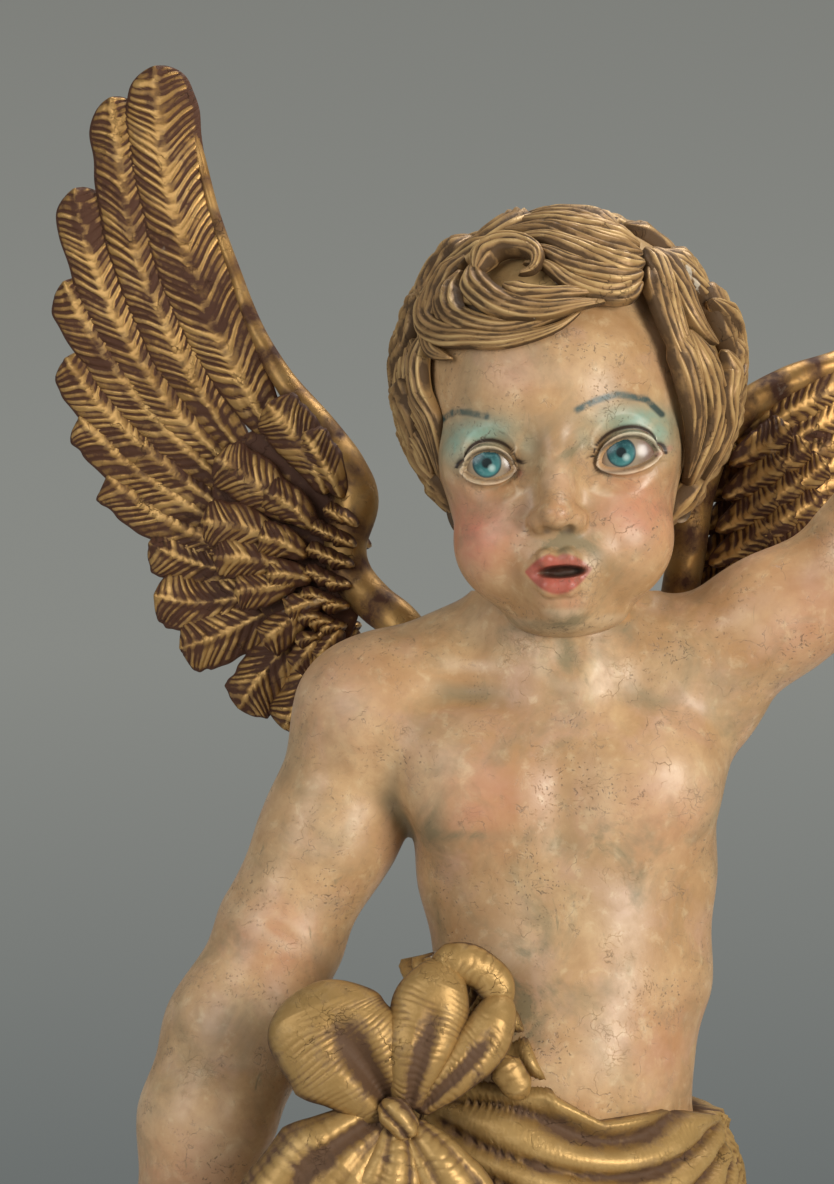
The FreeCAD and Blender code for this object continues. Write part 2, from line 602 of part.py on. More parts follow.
def scalloped(side, wrist, share):
    """The closed outline of one layer of feathers: an arc over each tip, and two edges back to the root."""
    feathers = [(angle, length * share) for angle, length in fan(side)]
    stops = [polar(wrist, feathers[0][0] - END_TURN, feathers[0][1] * FIRST_SHARE)]
    for (angle, length), (next_angle, next_length) in zip(feathers, feathers[1:]):
        stops.append(polar(wrist, (angle + next_angle) / 2, VALLEY_SHARE * min(length, next_length)))
    stops.append(polar(wrist, feathers[-1][0] + END_TURN, feathers[-1][1] * LAST_SHARE))
    edges = [Part.Arc(a, polar(wrist, *feather), b) for a, feather, b in zip(stops, feathers, stops[1:])]
    root = V(0, 0, 0)
    edges += [Part.LineSegment(stops[-1], root), Part.LineSegment(root, wrist), Part.LineSegment(wrist, stops[0])]
    return edges


def mirrored(edge, sign):
    """The edge for the wing on that side: its outline is drawn towards +x and turned over for the right wing."""
    if sign > 0:
        return edge
    flip = FreeCAD.Matrix()
    flip.A11 = -1
    copy = edge.copy()
    copy.transform(flip)
    return copy


def feather_layer(side, layer, wrist, share, thickness, midplane):
    """One scalloped plate as a body: a sketch in the wing's plane, padded forwards or both ways."""
    body = doc.addObject("PartDesign::Body", f"{side}_{layer}_body")
    outline = body.newObject("Sketcher::SketchObject", f"{side}_{layer}_outline")
    outline.AttachmentSupport = [(origin_plane(body, "XY_Plane"), "")]
    outline.MapMode = "FlatFace"
    for edge in scalloped(side, wrist, share):
        outline.addGeometry(mirrored(edge, SIGNS[side]), False)
    pad = body.newObject("PartDesign::Pad", f"{side}_{layer}_pad")
    pad.Profile = outline
    pad.SideType = "Symmetric" if midplane else "One side"
    pad.setExpression("Length", thickness)
    return body


def leading_edge(side, wrist):
    """A round edge from the root over the wrist to the first feather's tip."""
    sign = SIGNS[side]
    first_angle, first_length = next(fan(side))
    thick = "Sizes.leading_edge_radius"
    stations = [
        (V(0, 0, 0), thick), (wrist * 0.55, thick), (wrist + V(0, size("leading_edge_radius") * 0.65, 0), thick),
        (polar(wrist, first_angle - 7, first_length * 0.35), f"0.7 * {thick}"),
        (polar(wrist, first_angle - 5, first_length * 0.72), "Sizes.tip_edge_radius"),
    ]
    circles = []
    for number, (point, radius) in enumerate(stations):
        before = stations[max(number - 1, 0)][0]
        after = stations[min(number + 1, len(stations) - 1)][0]
        circle = add("Part::Circle", f"{side}_edge_{number}", Radius=radius)
        way = after - before
        circle.Placement = FreeCAD.Placement(V(point.x * sign, point.y, 0), aim(V(way.x * sign, way.y, 0)))
        circles.append(circle)
    return loft(f"{side}_leading_edge", circles)


def wing(side, torso_clear):
    """A flat cast wing: a plate of long feathers, a shorter plate of coverts in front, a round leading edge,
    and a boss that is fitted to the back and drilled for the two dowels."""
    wrist = polar(V(0, 0, 0), size(f"wing_{side}_arm_turn"), size("wing_arm"))
    feathers = feather_layer(side, "feathers", wrist, 1, "Sizes.wing_plate", True)
    coverts = feather_layer(side, "coverts", wrist, size("covert_share"),
                            "Sizes.wing_plate / 2 + Sizes.covert_plate", False)
    boss = add("Part::Cylinder", f"{side}_wing_boss", ("0", "0", "-Sizes.wing_root_length"),
               Radius="Sizes.wing_root_radius", Height="Sizes.wing_root_length + Sizes.wing_root_radius")
    whole = fuse(f"{side}_wing_flat", [feathers, coverts, leading_edge(side, wrist), boss])
    stand = FreeCAD.Rotation(Z_AXIS, SIGNS[side] * size("wing_sweep")) * FreeCAD.Rotation(X_AXIS, 90)
    whole.Placement = FreeCAD.Placement(shoulder_blade(side), stand)
    pegs = wing_pegs("wing_hole", side, CLEAR)
    return cut(f"{side}_wing", whole, fuse(f"{side}_wing_away", [torso_clear, *pegs]))


# ---------------------------------------------------------------- assembly

def assemble():
    """Makes every piece and returns the ones that have a node, under their names."""
    outers = {side: upper_arm(side) for side in SIGNS}
    torso_clear = torso_loft("torso_clear", "Sizes.glue_gap")
    cloth_clear = cloth_loft("cloth_clear", "Sizes.glue_gap")
    pieces = [base_plinth(), base_felt(), *fastenings(), torso(list(outers.values())), head()]
    for side, flat_axis in (("right", X_AXIS), ("left", Y_AXIS)):
        pieces += [leg(side), drilled_upper_arm(side, outers[side]), forearm(side, flat_axis),
                   wing(side, torso_clear)]
    pieces += [group("neck_dowel", [neck_peg("neck_dowel_pin")]),
               group("shoulder_dowels", [shoulder_peg("shoulder_dowel", side) for side in SIGNS]),
               group("elbow_dowels", [elbow_peg("elbow_dowel", side) for side in SIGNS]),
               group("wing_dowels", [pin for side in SIGNS for pin in wing_pegs("wing_dowel", side)]),
               loincloth(torso_clear), bow(cloth_clear)]
    return {piece.Name: piece for piece in pieces}


def check_and_write(pieces):
    """Recomputes, stops at the first failed object, and writes one STEP file for each piece."""
    doc.recompute()
    failed = [thing.Name for thing in doc.Objects if "Invalid" in thing.State or "Error" in thing.State]
    if failed:
        raise RuntimeError(f"these objects failed: {failed}")
    os.makedirs("parts", exist_ok=True)
    for name, piece in pieces.items():
        shape = piece.Shape
        if shape.isNull() or not shape.isValid() or not shape.Solids:
            raise RuntimeError(f"{name} has no valid solid")
        piece.Label = name
        shape.exportStep(os.path.join("parts", f"{name}.step"))
        print(name, len(shape.Solids), "solid(s)", round(shape.Volume), "mm3")


write_sizes()
check_and_write(assemble())
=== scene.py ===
"""Looks of the angel figurine: a standing putto of painted cast resin with gilt wings, on a turned base.

Shapes are worked in millimetres in the row frame (+Z up, the figure looks along -Y)
and made metres at the end.
"""

import functools
import math
import random

import bmesh
import bpy
import numpy as np
from mathutils import Matrix, Vector


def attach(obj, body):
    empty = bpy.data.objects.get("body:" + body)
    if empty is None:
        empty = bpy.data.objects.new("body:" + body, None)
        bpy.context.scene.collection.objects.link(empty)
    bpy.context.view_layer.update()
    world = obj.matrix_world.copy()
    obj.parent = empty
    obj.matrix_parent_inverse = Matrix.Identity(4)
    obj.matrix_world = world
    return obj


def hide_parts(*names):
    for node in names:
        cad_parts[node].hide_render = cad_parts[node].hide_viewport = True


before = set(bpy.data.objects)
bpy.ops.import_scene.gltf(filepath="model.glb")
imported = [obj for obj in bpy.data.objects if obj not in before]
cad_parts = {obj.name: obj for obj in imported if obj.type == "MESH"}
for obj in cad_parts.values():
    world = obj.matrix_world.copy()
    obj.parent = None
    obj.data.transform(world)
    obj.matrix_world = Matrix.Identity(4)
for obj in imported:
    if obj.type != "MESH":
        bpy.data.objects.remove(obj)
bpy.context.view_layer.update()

MM = 0.001
BODY = "root"
# how far a slope is measured over, and how far one move may carry a vertex
STEP, FARTHEST = 0.05, 2.5
rng = random.Random(11)


# ---------------------------------------------------------------- clay: soft shapes from lumps

def vec(*xyz):
    return np.array(xyz, dtype=float)


def soft_least(a, b, width):
    """The lesser of two distances, rounded where they meet over a width."""
    near = np.maximum(width - np.abs(a - b), 0) / width
    return np.minimum(a, b) - near * near * width / 4


def soft_most(a, b, width):
    return -soft_least(-a, -b, width)


def length_of(rows):
    return np.sqrt(np.einsum("ij,ij->i", rows, rows))


def ball_distance(p, centre, radii, turn):
    q = p - centre
    if turn is not None:
        q = q @ turn
    whole = length_of(q / radii)
    slope = length_of(q / radii ** 2)
    return whole * (whole - 1) / np.maximum(slope, 1e-6)


def bone_distance(p, start, end, r1, r2):
    """Distance to a rod with round ends, thicker at one end than at the other."""
    way = end - start
    square = way @ way
    taper = r1 - r2
    inner = square - taper * taper
    from_start = p - start
    along = from_start @ way
    past = along - square
    side2 = np.einsum("ij,ij->i", *[from_start * square - np.outer(along, way)] * 2)
    limit = math.copysign(1, taper) * taper * taper * side2
    beyond = np.sqrt(side2 + past * past * square) / square - r2
    before = np.sqrt(side2 + along * along * square) / square - r1
    beside = (np.sqrt(side2 * inner / square) + along * taper) / square - r1
    far = np.sign(past) * inner * past * past * square > limit
    near = np.sign(along) * inner * along * along * square < limit
    return np.where(far, beyond, np.where(near, before, beside))


class Clay:
    """Balls and bones put on or pressed in, one after the other, each blended over its own width."""

    def __init__(self, blend=3.0):
        self.blend = blend
        self.steps = []

    def ball(self, centre, radii, blend=None, turn=None, press=False):
        radii = np.broadcast_to(np.asarray(radii, dtype=float), 3)
        centre = np.asarray(centre, dtype=float)
        matrix = None if turn is None else np.array(turn.to_3x3())
        self.steps.append((ball_distance, (centre, radii, matrix), blend or self.blend, press,
                           centre, float(radii.max())))
        return self

    def bone(self, start, end, r1, r2=None, blend=None, press=False):
        start, end = np.asarray(start, dtype=float), np.asarray(end, dtype=float)
        r2 = r1 if r2 is None else r2
        self.steps.append((bone_distance, (start, end, r1, r2), blend or self.blend, press,
                           (start + end) / 2, float(np.linalg.norm(end - start)) / 2 + max(r1, r2)))
        return self

    def chain(self, points, radii, blend):
        """Bones end to end through a list of points."""
        for start, end, r1, r2 in zip(points, points[1:], radii, radii[1:]):
            self.bone(start, end, r1, r2, blend)
        return self

    def field(self, p, reach=9.0):
        """Signed distance from the clay's surface, good near it."""
        total = np.full(len(p), 50.0)
        for measure, sizes, blend, press, middle, size in self.steps:
            near = np.flatnonzero(length_of(p - middle) < size + blend + reach)
            if not len(near):
                continue
            d = measure(p[near], *sizes)
            total[near] = soft_most(total[near], -d, blend) if press else soft_least(total[near], d, blend)
        return total

    def rough(self):
        """A bmesh of every lump that is put on, to be melted together."""
        bm = bmesh.new()
        for measure, sizes, _blend, press, _middle, _size in self.steps:
            if press:
                continue
            if measure is ball_distance:
                centre, radii, matrix = sizes
                turn = Matrix() if matrix is None else Matrix(matrix.tolist()).to_4x4()
                place = Matrix.Translation(centre.tolist()) @ turn @ Matrix.Diagonal((*radii, 1))
                bmesh.ops.create_icosphere(bm, subdivisions=3, radius=1, matrix=place)
                continue
            start, end, r1, r2 = sizes
            way = Vector((end - start).tolist())
            turn = way.to_track_quat("Z", "Y").to_matrix().to_4x4()
            middle = Matrix.Translation(((start + end) / 2).tolist()) @ turn
            bmesh.ops.create_cone(bm, cap_ends=True, segments=20, radius1=r1, radius2=r2, depth=way.length,
                                  matrix=middle)
            for place, radius in ((start, r1), (end, r2)):
                bmesh.ops.create_icosphere(bm, subdivisions=3, radius=radius,
                                           matrix=Matrix.Translation(place.tolist()))
        return bm


def piece_from(bm, name):
    mesh = bpy.data.meshes.new(name)
    bm.to_mesh(mesh)
    bm.free()
    obj = bpy.data.objects.new(name, mesh)
    bpy.context.scene.collection.objects.link(obj)
    return obj


def apply_modifiers(obj):
    """Puts what the modifiers make into the mesh itself."""
    ready = obj.evaluated_get(bpy.context.evaluated_depsgraph_get())
    mesh = bpy.data.meshes.new_from_object(ready)
    obj.modifiers.clear()
    old = obj.data
    obj.data = mesh
    bpy.data.meshes.remove(old)
    return obj


def melt(obj, voxel):
    """Joins overlapping closed lumps into one even skin."""
    remesh = obj.modifiers.new("melt", "REMESH")
    remesh.mode = "VOXEL"
    remesh.voxel_size = voxel
    return apply_modifiers(obj)


def rows_of(items, name, width, kind=np.float32):
    """One property of all the items of a mesh, as rows of numbers."""
    flat = np.empty(len(items) * width, dtype=kind)
    items.foreach_get(name, flat)
    return flat.reshape(-1, width)


def points_of(mesh):
    return rows_of(mesh.vertices, "co", 3).astype(float)


def normals_of(mesh):
    return rows_of(mesh.vertex_normals, "vector", 3).astype(float)


def edges_of(mesh):
    return rows_of(mesh.edges, "vertices", 2, np.int32)


def set_points(mesh, points):
    mesh.vertices.foreach_set("co", np.ascontiguousarray(points, dtype=np.float32).ravel())
    mesh.update()


def neighbour_mean(values, edges):
    """For each vertex, the mean of its neighbours' rows."""
    count = len(values)
    ends = np.concatenate([edges[:, 0], edges[:, 1]])
    others = np.concatenate([edges[:, 1], edges[:, 0]])
    number = np.maximum(np.bincount(ends, minlength=count), 1)
    sums = [np.bincount(ends, values[others, axis], minlength=count) for axis in range(3)]
    return np.stack(sums, axis=1) / number[:, None]


def settle(mesh, field, rounds, relax=0.4):
    """Moves every vertex onto the field's surface, evening out the mesh between moves."""
    edges = edges_of(mesh)
    p = points_of(mesh)
    for turn in range(rounds):
        if turn < rounds - 1:
            p += relax * (neighbour_mean(p, edges) - p)
        d = field(p)
        slope = np.stack([field(p + STEP * axis) - d for axis in np.eye(3)], axis=1) / STEP
        size = np.maximum(np.einsum("ij,ij->i", slope, slope), 0.2)
        p -= slope * np.clip(d / size, -FARTHEST, FARTHEST)[:, None]
    set_points(mesh, p)


def set_attribute(mesh, name, values):
    layer = mesh.attributes.get(name) or mesh.attributes.new(name, "FLOAT", "POINT")
    layer.data.foreach_set("value", np.ascontiguousarray(values, dtype=np.float32))


def add_relief(mesh, spread=12, scale=0.25, name="relief"):
    """Stores how far each vertex stands above (+) or below (-) the smoothed surface round it."""
    edges = edges_of(mesh)
    p = points_of(mesh)
    soft = p
    for _ in range(spread):
        soft = soft + 0.6 * (neighbour_mean(soft, edges) - soft)
    height = np.einsum("ij,ij->i", p - soft, normals_of(mesh))
    set_attribute(mesh, name, np.clip(height / scale, -1, 1))


def sculpt(name, clay, voxel, field):
    """A skin over the clay's lumps, melted and brought onto the field, first coarsely and then finely."""
    obj = piece_from(clay.rough(), name)
    melt(obj, voxel * 1.5)
    settle(obj.data, field, 3)
    melt(obj, voxel)
    settle(obj.data, field, 3)
    return obj


def finish_piece(obj, material, slot, *nodes):
    """Turns millimetres to metres, gives the piece its material, hangs it on the body and hides the model's
    parts that it stands in for.
    """
    mesh = obj.data
    mesh.transform(Matrix.Scale(MM, 4))
    mesh.shade_smooth()
    mesh.materials.clear()
    mesh.materials.append(material)
    mesh.update()
    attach(obj, BODY)
    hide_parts(*nodes)


# ---------------------------------------------------------------- head

HEAD_PIVOT = vec(0.35, 0, 345)
HEAD_TURN = Matrix.Rotation(math.radians(-3.5), 3, "Z") @ Matrix.Rotation(math.radians(-3), 3, "Y")
HEAD_AXES = np.array(HEAD_TURN)


def to_head(p):
    return (p - HEAD_PIVOT) @ HEAD_AXES


def from_head(p):
    return np.atleast_2d(p) @ HEAD_AXES.T + HEAD_PIVOT


EYE_RADIUS = 10.0
# for each eye: centre, half width of the opening, and how much higher its outer corner is than its inner one
EYES = {
    "right": (vec(-14.2, -19.4, -0.8), 5.5, 0.6),
    "left": (vec(14.0, -19.4, -0.2), 6.7, 2.0),
}


def face_clay():
    """The face and skull in the head's frame: x to the figure's left, -y ahead, z up from the eyes."""
    clay = Clay(6)
    clay.ball((0, 4, 17), (30.5, 34, 33))
    clay.ball((0, -8, 2), (26.2, 24, 25))
    clay.ball((0, -12, -13.5), (22.4, 21.5, 18.5))
    clay.ball((0.2, -13.5, -21), (19.6, 18.4, 15.0))
    clay.ball((0, -14, 15), (21, 19.0, 17), 8)
    for side in (-1, 1):
        clay.ball((side * 12.0, -20.5, -18.5), (10.6, 11.0, 10.5), 5)
        clay.ball((side * 14.1, -19.4, -0.5), EYE_RADIUS + 0.9, 3.5)
    clay.ball((-0.3, -26.5, -30.2), (6.5, 7.6, 5.4), 5)
    clay.ball((0, -15, -33.5), (12, 12, 5.0), 4)
    for side in (-1, 1):
        clay.bone((side * 5.2, -34.2, 1), (side * 6.8, -35.2, -10), 2.0, 1.8, 5, press=True)
    clay.bone((-0.4, -29.2, 4), (-0.6, -35.9, -10), 3.2, 2.9, 4.5)
    clay.ball((-0.7, -38.0, -12.6), (3.7, 3.9, 3.2), 2.5)
    for side in (-1, 1):
        clay.ball((side * 3.9 - 0.7, -35.0, -13.8), (2.3, 3.3, 2.3), 1.8)
    clay.ball((0, -31.8, -23.5), (8.5, 4.2, 6.5), 5)
    for side in (-1, 1):
        clay.ball((side * 2.2 - 0.7, -37.4, -16.3), (1.1, 1.4, 1.2), 0.9, press=True)
    clay.bone((-0.8, -38.2, -17.6), (-0.9, -38.0, -20.0), 0.8, 0.9, 1.4, press=True)
    upper_lip = ((-7.9, -32.8, -24.2), (-3.4, -35.9, -21.9), (-1.1, -35.8, -22.4), (1.2, -35.9, -21.9),
                 (5.6, -33.0, -24.0))
    lower_lip = ((-6.8, -33.2, -25.3), (-3.1, -35.4, -27.5), (1.0, -35.4, -27.5), (4.6, -33.4, -25.2))
    clay.chain(upper_lip, (0.7, 1.9, 1.6, 1.9, 0.7), 1.0)
    clay.chain(lower_lip, (0.8, 2.1, 2.1, 0.8), 1.0)
    for side in (-1, 1):
        ear = Matrix.Rotation(side * 0.35, 3, "Z") @ Matrix.Rotation(-0.18, 3, "X")
        inset = 0.6 if side > 0 else 3.2
        clay.ball((side * (26.2 - inset), 3.5, -4), (2.6, 5.6, 8.0), 2.5, ear)
        clay.ball((side * (25.4 - inset), 0.5, -11.5), (2.8, 3.4, 3.8), 2.0)
        clay.ball((side * (29.6 - inset), 2.5, -3), (3.0, 3.2, 4.8), 2.0, ear, press=True)
    return clay


def opening(p, centre, half, tilt):
    """How far a point is outside (+) an eye's almond opening, seen from the front."""
    x, z = p[:, 0] - centre[0], p[:, 2] - centre[2]
    along = x / half
    corner = -1.9 + tilt * 0.5 * np.clip(along, -1.3, 1.3) * np.sign(centre[0])
    arch = np.sqrt(np.maximum(1 - along ** 2, 0))
    past = np.maximum(np.abs(along) - 1, 0) * half
    upper = z - (corner + (2.0 + 0.42 * half) * arch ** 1.1)
    lower = (corner - 2.2 * arch ** 1.3) - z
    over = np.maximum(upper, lower) * 0.85
    return np.hypot(np.maximum(over, 0), past) + np.minimum(over, 0) * (past == 0)


def open_eyes(p):
    """Shapes the lids over each eyeball: a raised rim round the opening, and a fold over it."""
    q = to_head(p)
    for centre, half, tilt in EYES.values():
        near = np.flatnonzero((q[:, 1] < -14) & (length_of(q - centre) < EYE_RADIUS + 7))
        away = q[near] - centre
        radius = length_of(away)
        out = opening(q[near], centre, half, tilt)
        rim = 1.25 * np.exp(-((out - 0.5) / 0.5) ** 2) * (out > -0.4)
        fold = 0.6 * np.exp(-((out - 1.9) / 0.5) ** 2) * (q[near, 2] > centre[2] - 0.5)
        lower_fold = 0.3 * np.exp(-((out - 2.3) / 0.7) ** 2) * (q[near, 2] < centre[2] - 2.5)
        base = np.where(out < -0.1, -0.5, 0.55)
        target = EYE_RADIUS + base + rim - fold - lower_fold
        share = np.clip((4.2 - out) / 2.4, 0, 1)
        share = share * share * (3 - 2 * share)
        wanted = radius + (target - radius) * share
        q[near] = centre + away * (wanted / radius)[:, None]
    return from_head(q)


MOUTH = (-0.3, -24.6)


def open_mouth(p):
    """Pushes the parted lips' opening back into the face."""
    q = to_head(p)
    near = (q[:, 1] < -28) & (np.abs(q[:, 0] - MOUTH[0]) < 6.5) & (np.abs(q[:, 2] - MOUTH[1]) < 3)
    x, z = (q[near, 0] - MOUTH[0]) / 5.0, (q[near, 2] - MOUTH[1]) / 1.35
    inside = np.clip((1.1 - np.sqrt(x * x + z * z)) / 0.55, 0, 1)
    q[near, 1] += 3.0 * inside * inside * (3 - 2 * inside)
    return from_head(q)


def denser(mesh, near):
    """Cuts the faces whose middle passes a test into four."""
    bm = bmesh.new()
    bm.from_mesh(mesh)
    edges = {edge for face in bm.faces if near(face.calc_center_median()) for edge in face.edges}
    bmesh.ops.subdivide_edges(bm, edges=list(edges), cuts=1, use_grid_fill=True)
    bm.to_mesh(mesh)
    bm.free()


def head_skin():
    clay = face_clay()

    def field(world):
        return clay.field(to_head(world))

    def front(point):
        q = to_head(np.array(point)[None])[0]
        return q[1] < -15 and abs(q[0]) < 25 and -32 < q[2] < 13

    def features(point):
        q = to_head(np.array(point)[None])[0]
        by_eye = min(np.linalg.norm(q - centre) for centre, *_ in EYES.values()) < EYE_RADIUS + 3.6
        return q[1] < -18 and (by_eye or (abs(q[0]) < 8 and -29.5 < q[2] < -10))

    obj = piece_from(clay.rough(), "face")
    obj.data.transform(Matrix.Translation(HEAD_PIVOT.tolist()) @ HEAD_TURN.to_4x4())
    melt(obj, 1.1)
    settle(obj.data, field, 3)
    melt(obj, 0.95)
    settle(obj.data, field, 3)
    denser(obj.data, front)
    settle(obj.data, field, 2, 0.3)
    denser(obj.data, features)
    settle(obj.data, field, 3, 0.3)
    set_points(obj.data, open_mouth(open_eyes(points_of(obj.data))))
    paint_face(obj.data)
    return obj


# the hairline over the forehead, x and z in the head's frame
SCALP_X = (-40, -26, -22, -11, 0, 6, 12, 17.5, 20.5, 23, 26, 40)
SCALP_Z = (27, 27, 29, 28.5, 30.5, 33.5, 35, 38.5, 33, 28, 20, 20)


def blob(p, centre, size):
    """A soft spot that fades from 1 at a centre, with a half width for each axis."""
    away = (p - np.array(centre, dtype=float)) / np.array(size, dtype=float)
    return np.exp(-np.einsum("ij,ij->i", away, away))


def blobs(p, *rows):
    """A sum of soft spots, each with a strength, a centre and half widths."""
    return sum(share * blob(p, centre, size) for share, centre, size in rows)


def stroke(x, z, points, width):
    """A brush line through points of the face, fading from 1 on the line to 0 at its width."""
    least = np.full(len(x), 99.0)
    for (x0, z0), (x1, z1) in zip(points, points[1:]):
        dx, dz = x1 - x0, z1 - z0
        share = np.clip(((x - x0) * dx + (z - z0) * dz) / (dx * dx + dz * dz), 0, 1)
        least = np.minimum(least, np.hypot(x - x0 - share * dx, z - z0 - share * dz))
    return np.clip(1 - least / width, 0, 1)


def paint_face(mesh):
    """Stores the painted features of the face as shares from 0 to 1."""
    q = to_head(points_of(mesh))
    x, y, z = q[:, 0], q[:, 1], q[:, 2]
    face = (y < -14).astype(float)
    add_relief(mesh, 10, 0.25)
    add_relief(mesh, 60, 1.2, "hollow")
    flat = np.stack([x, np.zeros(len(x)), z], axis=1)
    blush = blobs(flat, (1.0, (-18.0, 0, -15.5), (8.0, 9, 8.5)), (0.75, (17.0, 0, -13.0), (8.0, 9, 7.5)),
                  (0.35, (0, 0, -31), (5, 9, 3)), (0.3, (0.5, 0, -12.5), (2.5, 9, 2.5)),
                  (0.35, (-7, 0, 17), (7, 9, 4)), (1.2, (-8.2, 0, -3.5), (0.7, 9, 0.9)))
    blush += 1.3 * stroke(x, z, ((20.8, -1.2), (23.4, 0.2)), 0.9)
    set_attribute(mesh, "blush", blush * face)
    half, off = 7.0, np.abs(x + 1.0)
    upper = -20.6 - 0.8 * np.exp(-((x + 1.1) / 1.1) ** 2) - 3.6 * (off / half) ** 2
    lower = -29.3 + 5.0 * (off / half) ** 2
    lips = np.clip((upper - z) / 0.7 + 0.5, 0, 1) * np.clip((z - lower) / 0.7 + 0.5, 0, 1) * (off < half)
    set_attribute(mesh, "lips", lips * face)
    # painted shade: the parted mouth's opening and the nostrils darkened near black; then the painted lid
    # lines of each eye
    slit = ((x - MOUTH[0]) / 5.0) ** 2 + ((z - MOUTH[1]) / 1.25) ** 2
    dark = np.clip(1.5 - slit, 0, 1) * (y < -26)
    for nostril in (-3.0, 1.5):
        dark = np.maximum(dark, 0.7 * blob(flat, (nostril, 0, -16.2), (1.3, 9, 0.7)))
    for centre, width, tilt in EYES.values():
        out = opening(q, centre, width, tilt)
        away = length_of(q - centre) < EYE_RADIUS + 5
        above = z > centre[2] - 1.0
        line = 1.5 * np.exp(-(((out - 1.75) / 0.42) ** 2)) * above * away
        corner = np.exp(-(((out + 0.05) / 0.32) ** 2)) * away * np.where(z > centre[2] - 1.5, 0.95, 0.6)
        dark = np.maximum(dark, np.maximum(line * 0.9, corner))
    set_attribute(mesh, "lash", dark * face)
    brow = np.maximum(stroke(x, z, ((-24.5, 8.8), (-21.5, 10.2), (-18.5, 9.8), (-14.5, 8.6)), 0.95),
                      stroke(x, z, ((4.7, 8.8), (8.8, 10.6), (13, 11.7), (19, 10.4), (22, 7.3)), 0.95))
    set_attribute(mesh, "brow", np.clip(brow * 1.8, 0, 1) * face)
    shade = np.zeros(len(x))
    for centre, *_ in EYES.values():
        outside = np.sign(centre[0])
        for share, aside, up, size in ((1.15, 2.5, 6.2, (8.4, 9, 3.3)), (1.0, 7.0, 4.0, (3.6, 9, 4.4)),
                                       (0.45, -8.2, 3.2, (2.2, 9, 3.2))):
            spot = (centre[0] + outside * aside, 0, centre[2] + up)
            shade = np.maximum(shade, share * blob(flat, spot, size))
    set_attribute(mesh, "shade", shade * face * (z > -4))
    scalp = np.maximum(np.maximum(-28.5 - x, x - 26.3), z - np.interp(x, SCALP_X, SCALP_Z))
    scalp = np.maximum(scalp, y + 6 - 0.25 * (z + 10)) * np.clip((z + 15) / 4, 0, 1)
    set_attribute(mesh, "scalp", np.clip(scalp / 0.9, 0, 1))
    # dirt, and painted shade under the nose, under the lower lip, beside the nose and at its root
    grime = blobs(flat, (1.6, (-1.0, 0, -18.4), (5.6, 9, 1.9)), (0.9, (2.8, 0, -0.5), (2.2, 9, 2.6)),
                  (0.5, (0, 0, -34.5), (14, 9, 1.6)), (0.35, (7.0, 0, -20), (2.0, 9, 3.2)))
    grime += 0.45 * stroke(x, z, ((-6.5, -24.5), (-9.5, -20.5), (-11, -16)), 0.7)
    set_attribute(mesh, "grime", grime * face)


# ---------------------------------------------------------------- body

# heights of the seams and of the ground, and the place across of the gap between the legs
HIP_SEAM, NECK_SEAM, GROUND, LEG_GAP = 175, 316.5, 30, -3.5


def finger(clay, start, along, inward, length, radius, curl):
    """Three bones that bend towards the palm."""
    at, way = start, along / np.linalg.norm(along)
    for share, bend in ((0.42, curl * 0.5), (0.32, curl), (0.26, curl * 0.7)):
        way = way * math.cos(bend) + inward * math.sin(bend)
        way /= np.linalg.norm(way)
        end = at + way * length * share
        clay.bone(at, end, radius, radius * 0.92, 0.9)
        at, radius = end, radius * 0.92


def hand(clay, wrist, along, palm, thumb_side, curls, thumb_curl):
    """A chubby hand: along points to the fingertips, palm is the way the palm faces."""
    along, palm = along / np.linalg.norm(along), palm / np.linalg.norm(palm)
    across = np.cross(palm, along) * thumb_side
    across /= np.linalg.norm(across)
    middle = wrist + along * 8.5
    turn = Matrix((across.tolist(), (-palm).tolist(), along.tolist())).transposed()
    clay.ball(middle, (8.6, 5.0, 10.5), 3, turn)
    clay.ball(middle + along * 4.5, (8.4, 4.2, 6.0), 2, turn)
    clay.ball(middle + across * 4.6 - along * 2 + palm * 2.2, (4.2, 3.8, 6.4), 2.5, turn)
    clay.ball(middle - across * 5.0 - along * 1 + palm * 1.6, (3.2, 3.2, 6.4), 2.5, turn)
    for number, curl in enumerate(curls):
        aside = 1.5 - number
        start = middle + along * (8.2 - 0.5 * abs(aside)) + across * aside * 4.1
        way = along + across * aside * 0.08
        finger(clay, start, way, palm, (14.5, 16, 15, 12)[number], (2.7, 2.75, 2.65, 2.35)[number], curl)
    start = middle + across * 6.4 - along * 3.5 + palm * 1.6
    way = along * 0.75 + across * 0.75 + palm * 0.25
    finger(clay, start, way, palm * 0.4 - across * 0.6, 14.5, 3.0, thumb_curl)


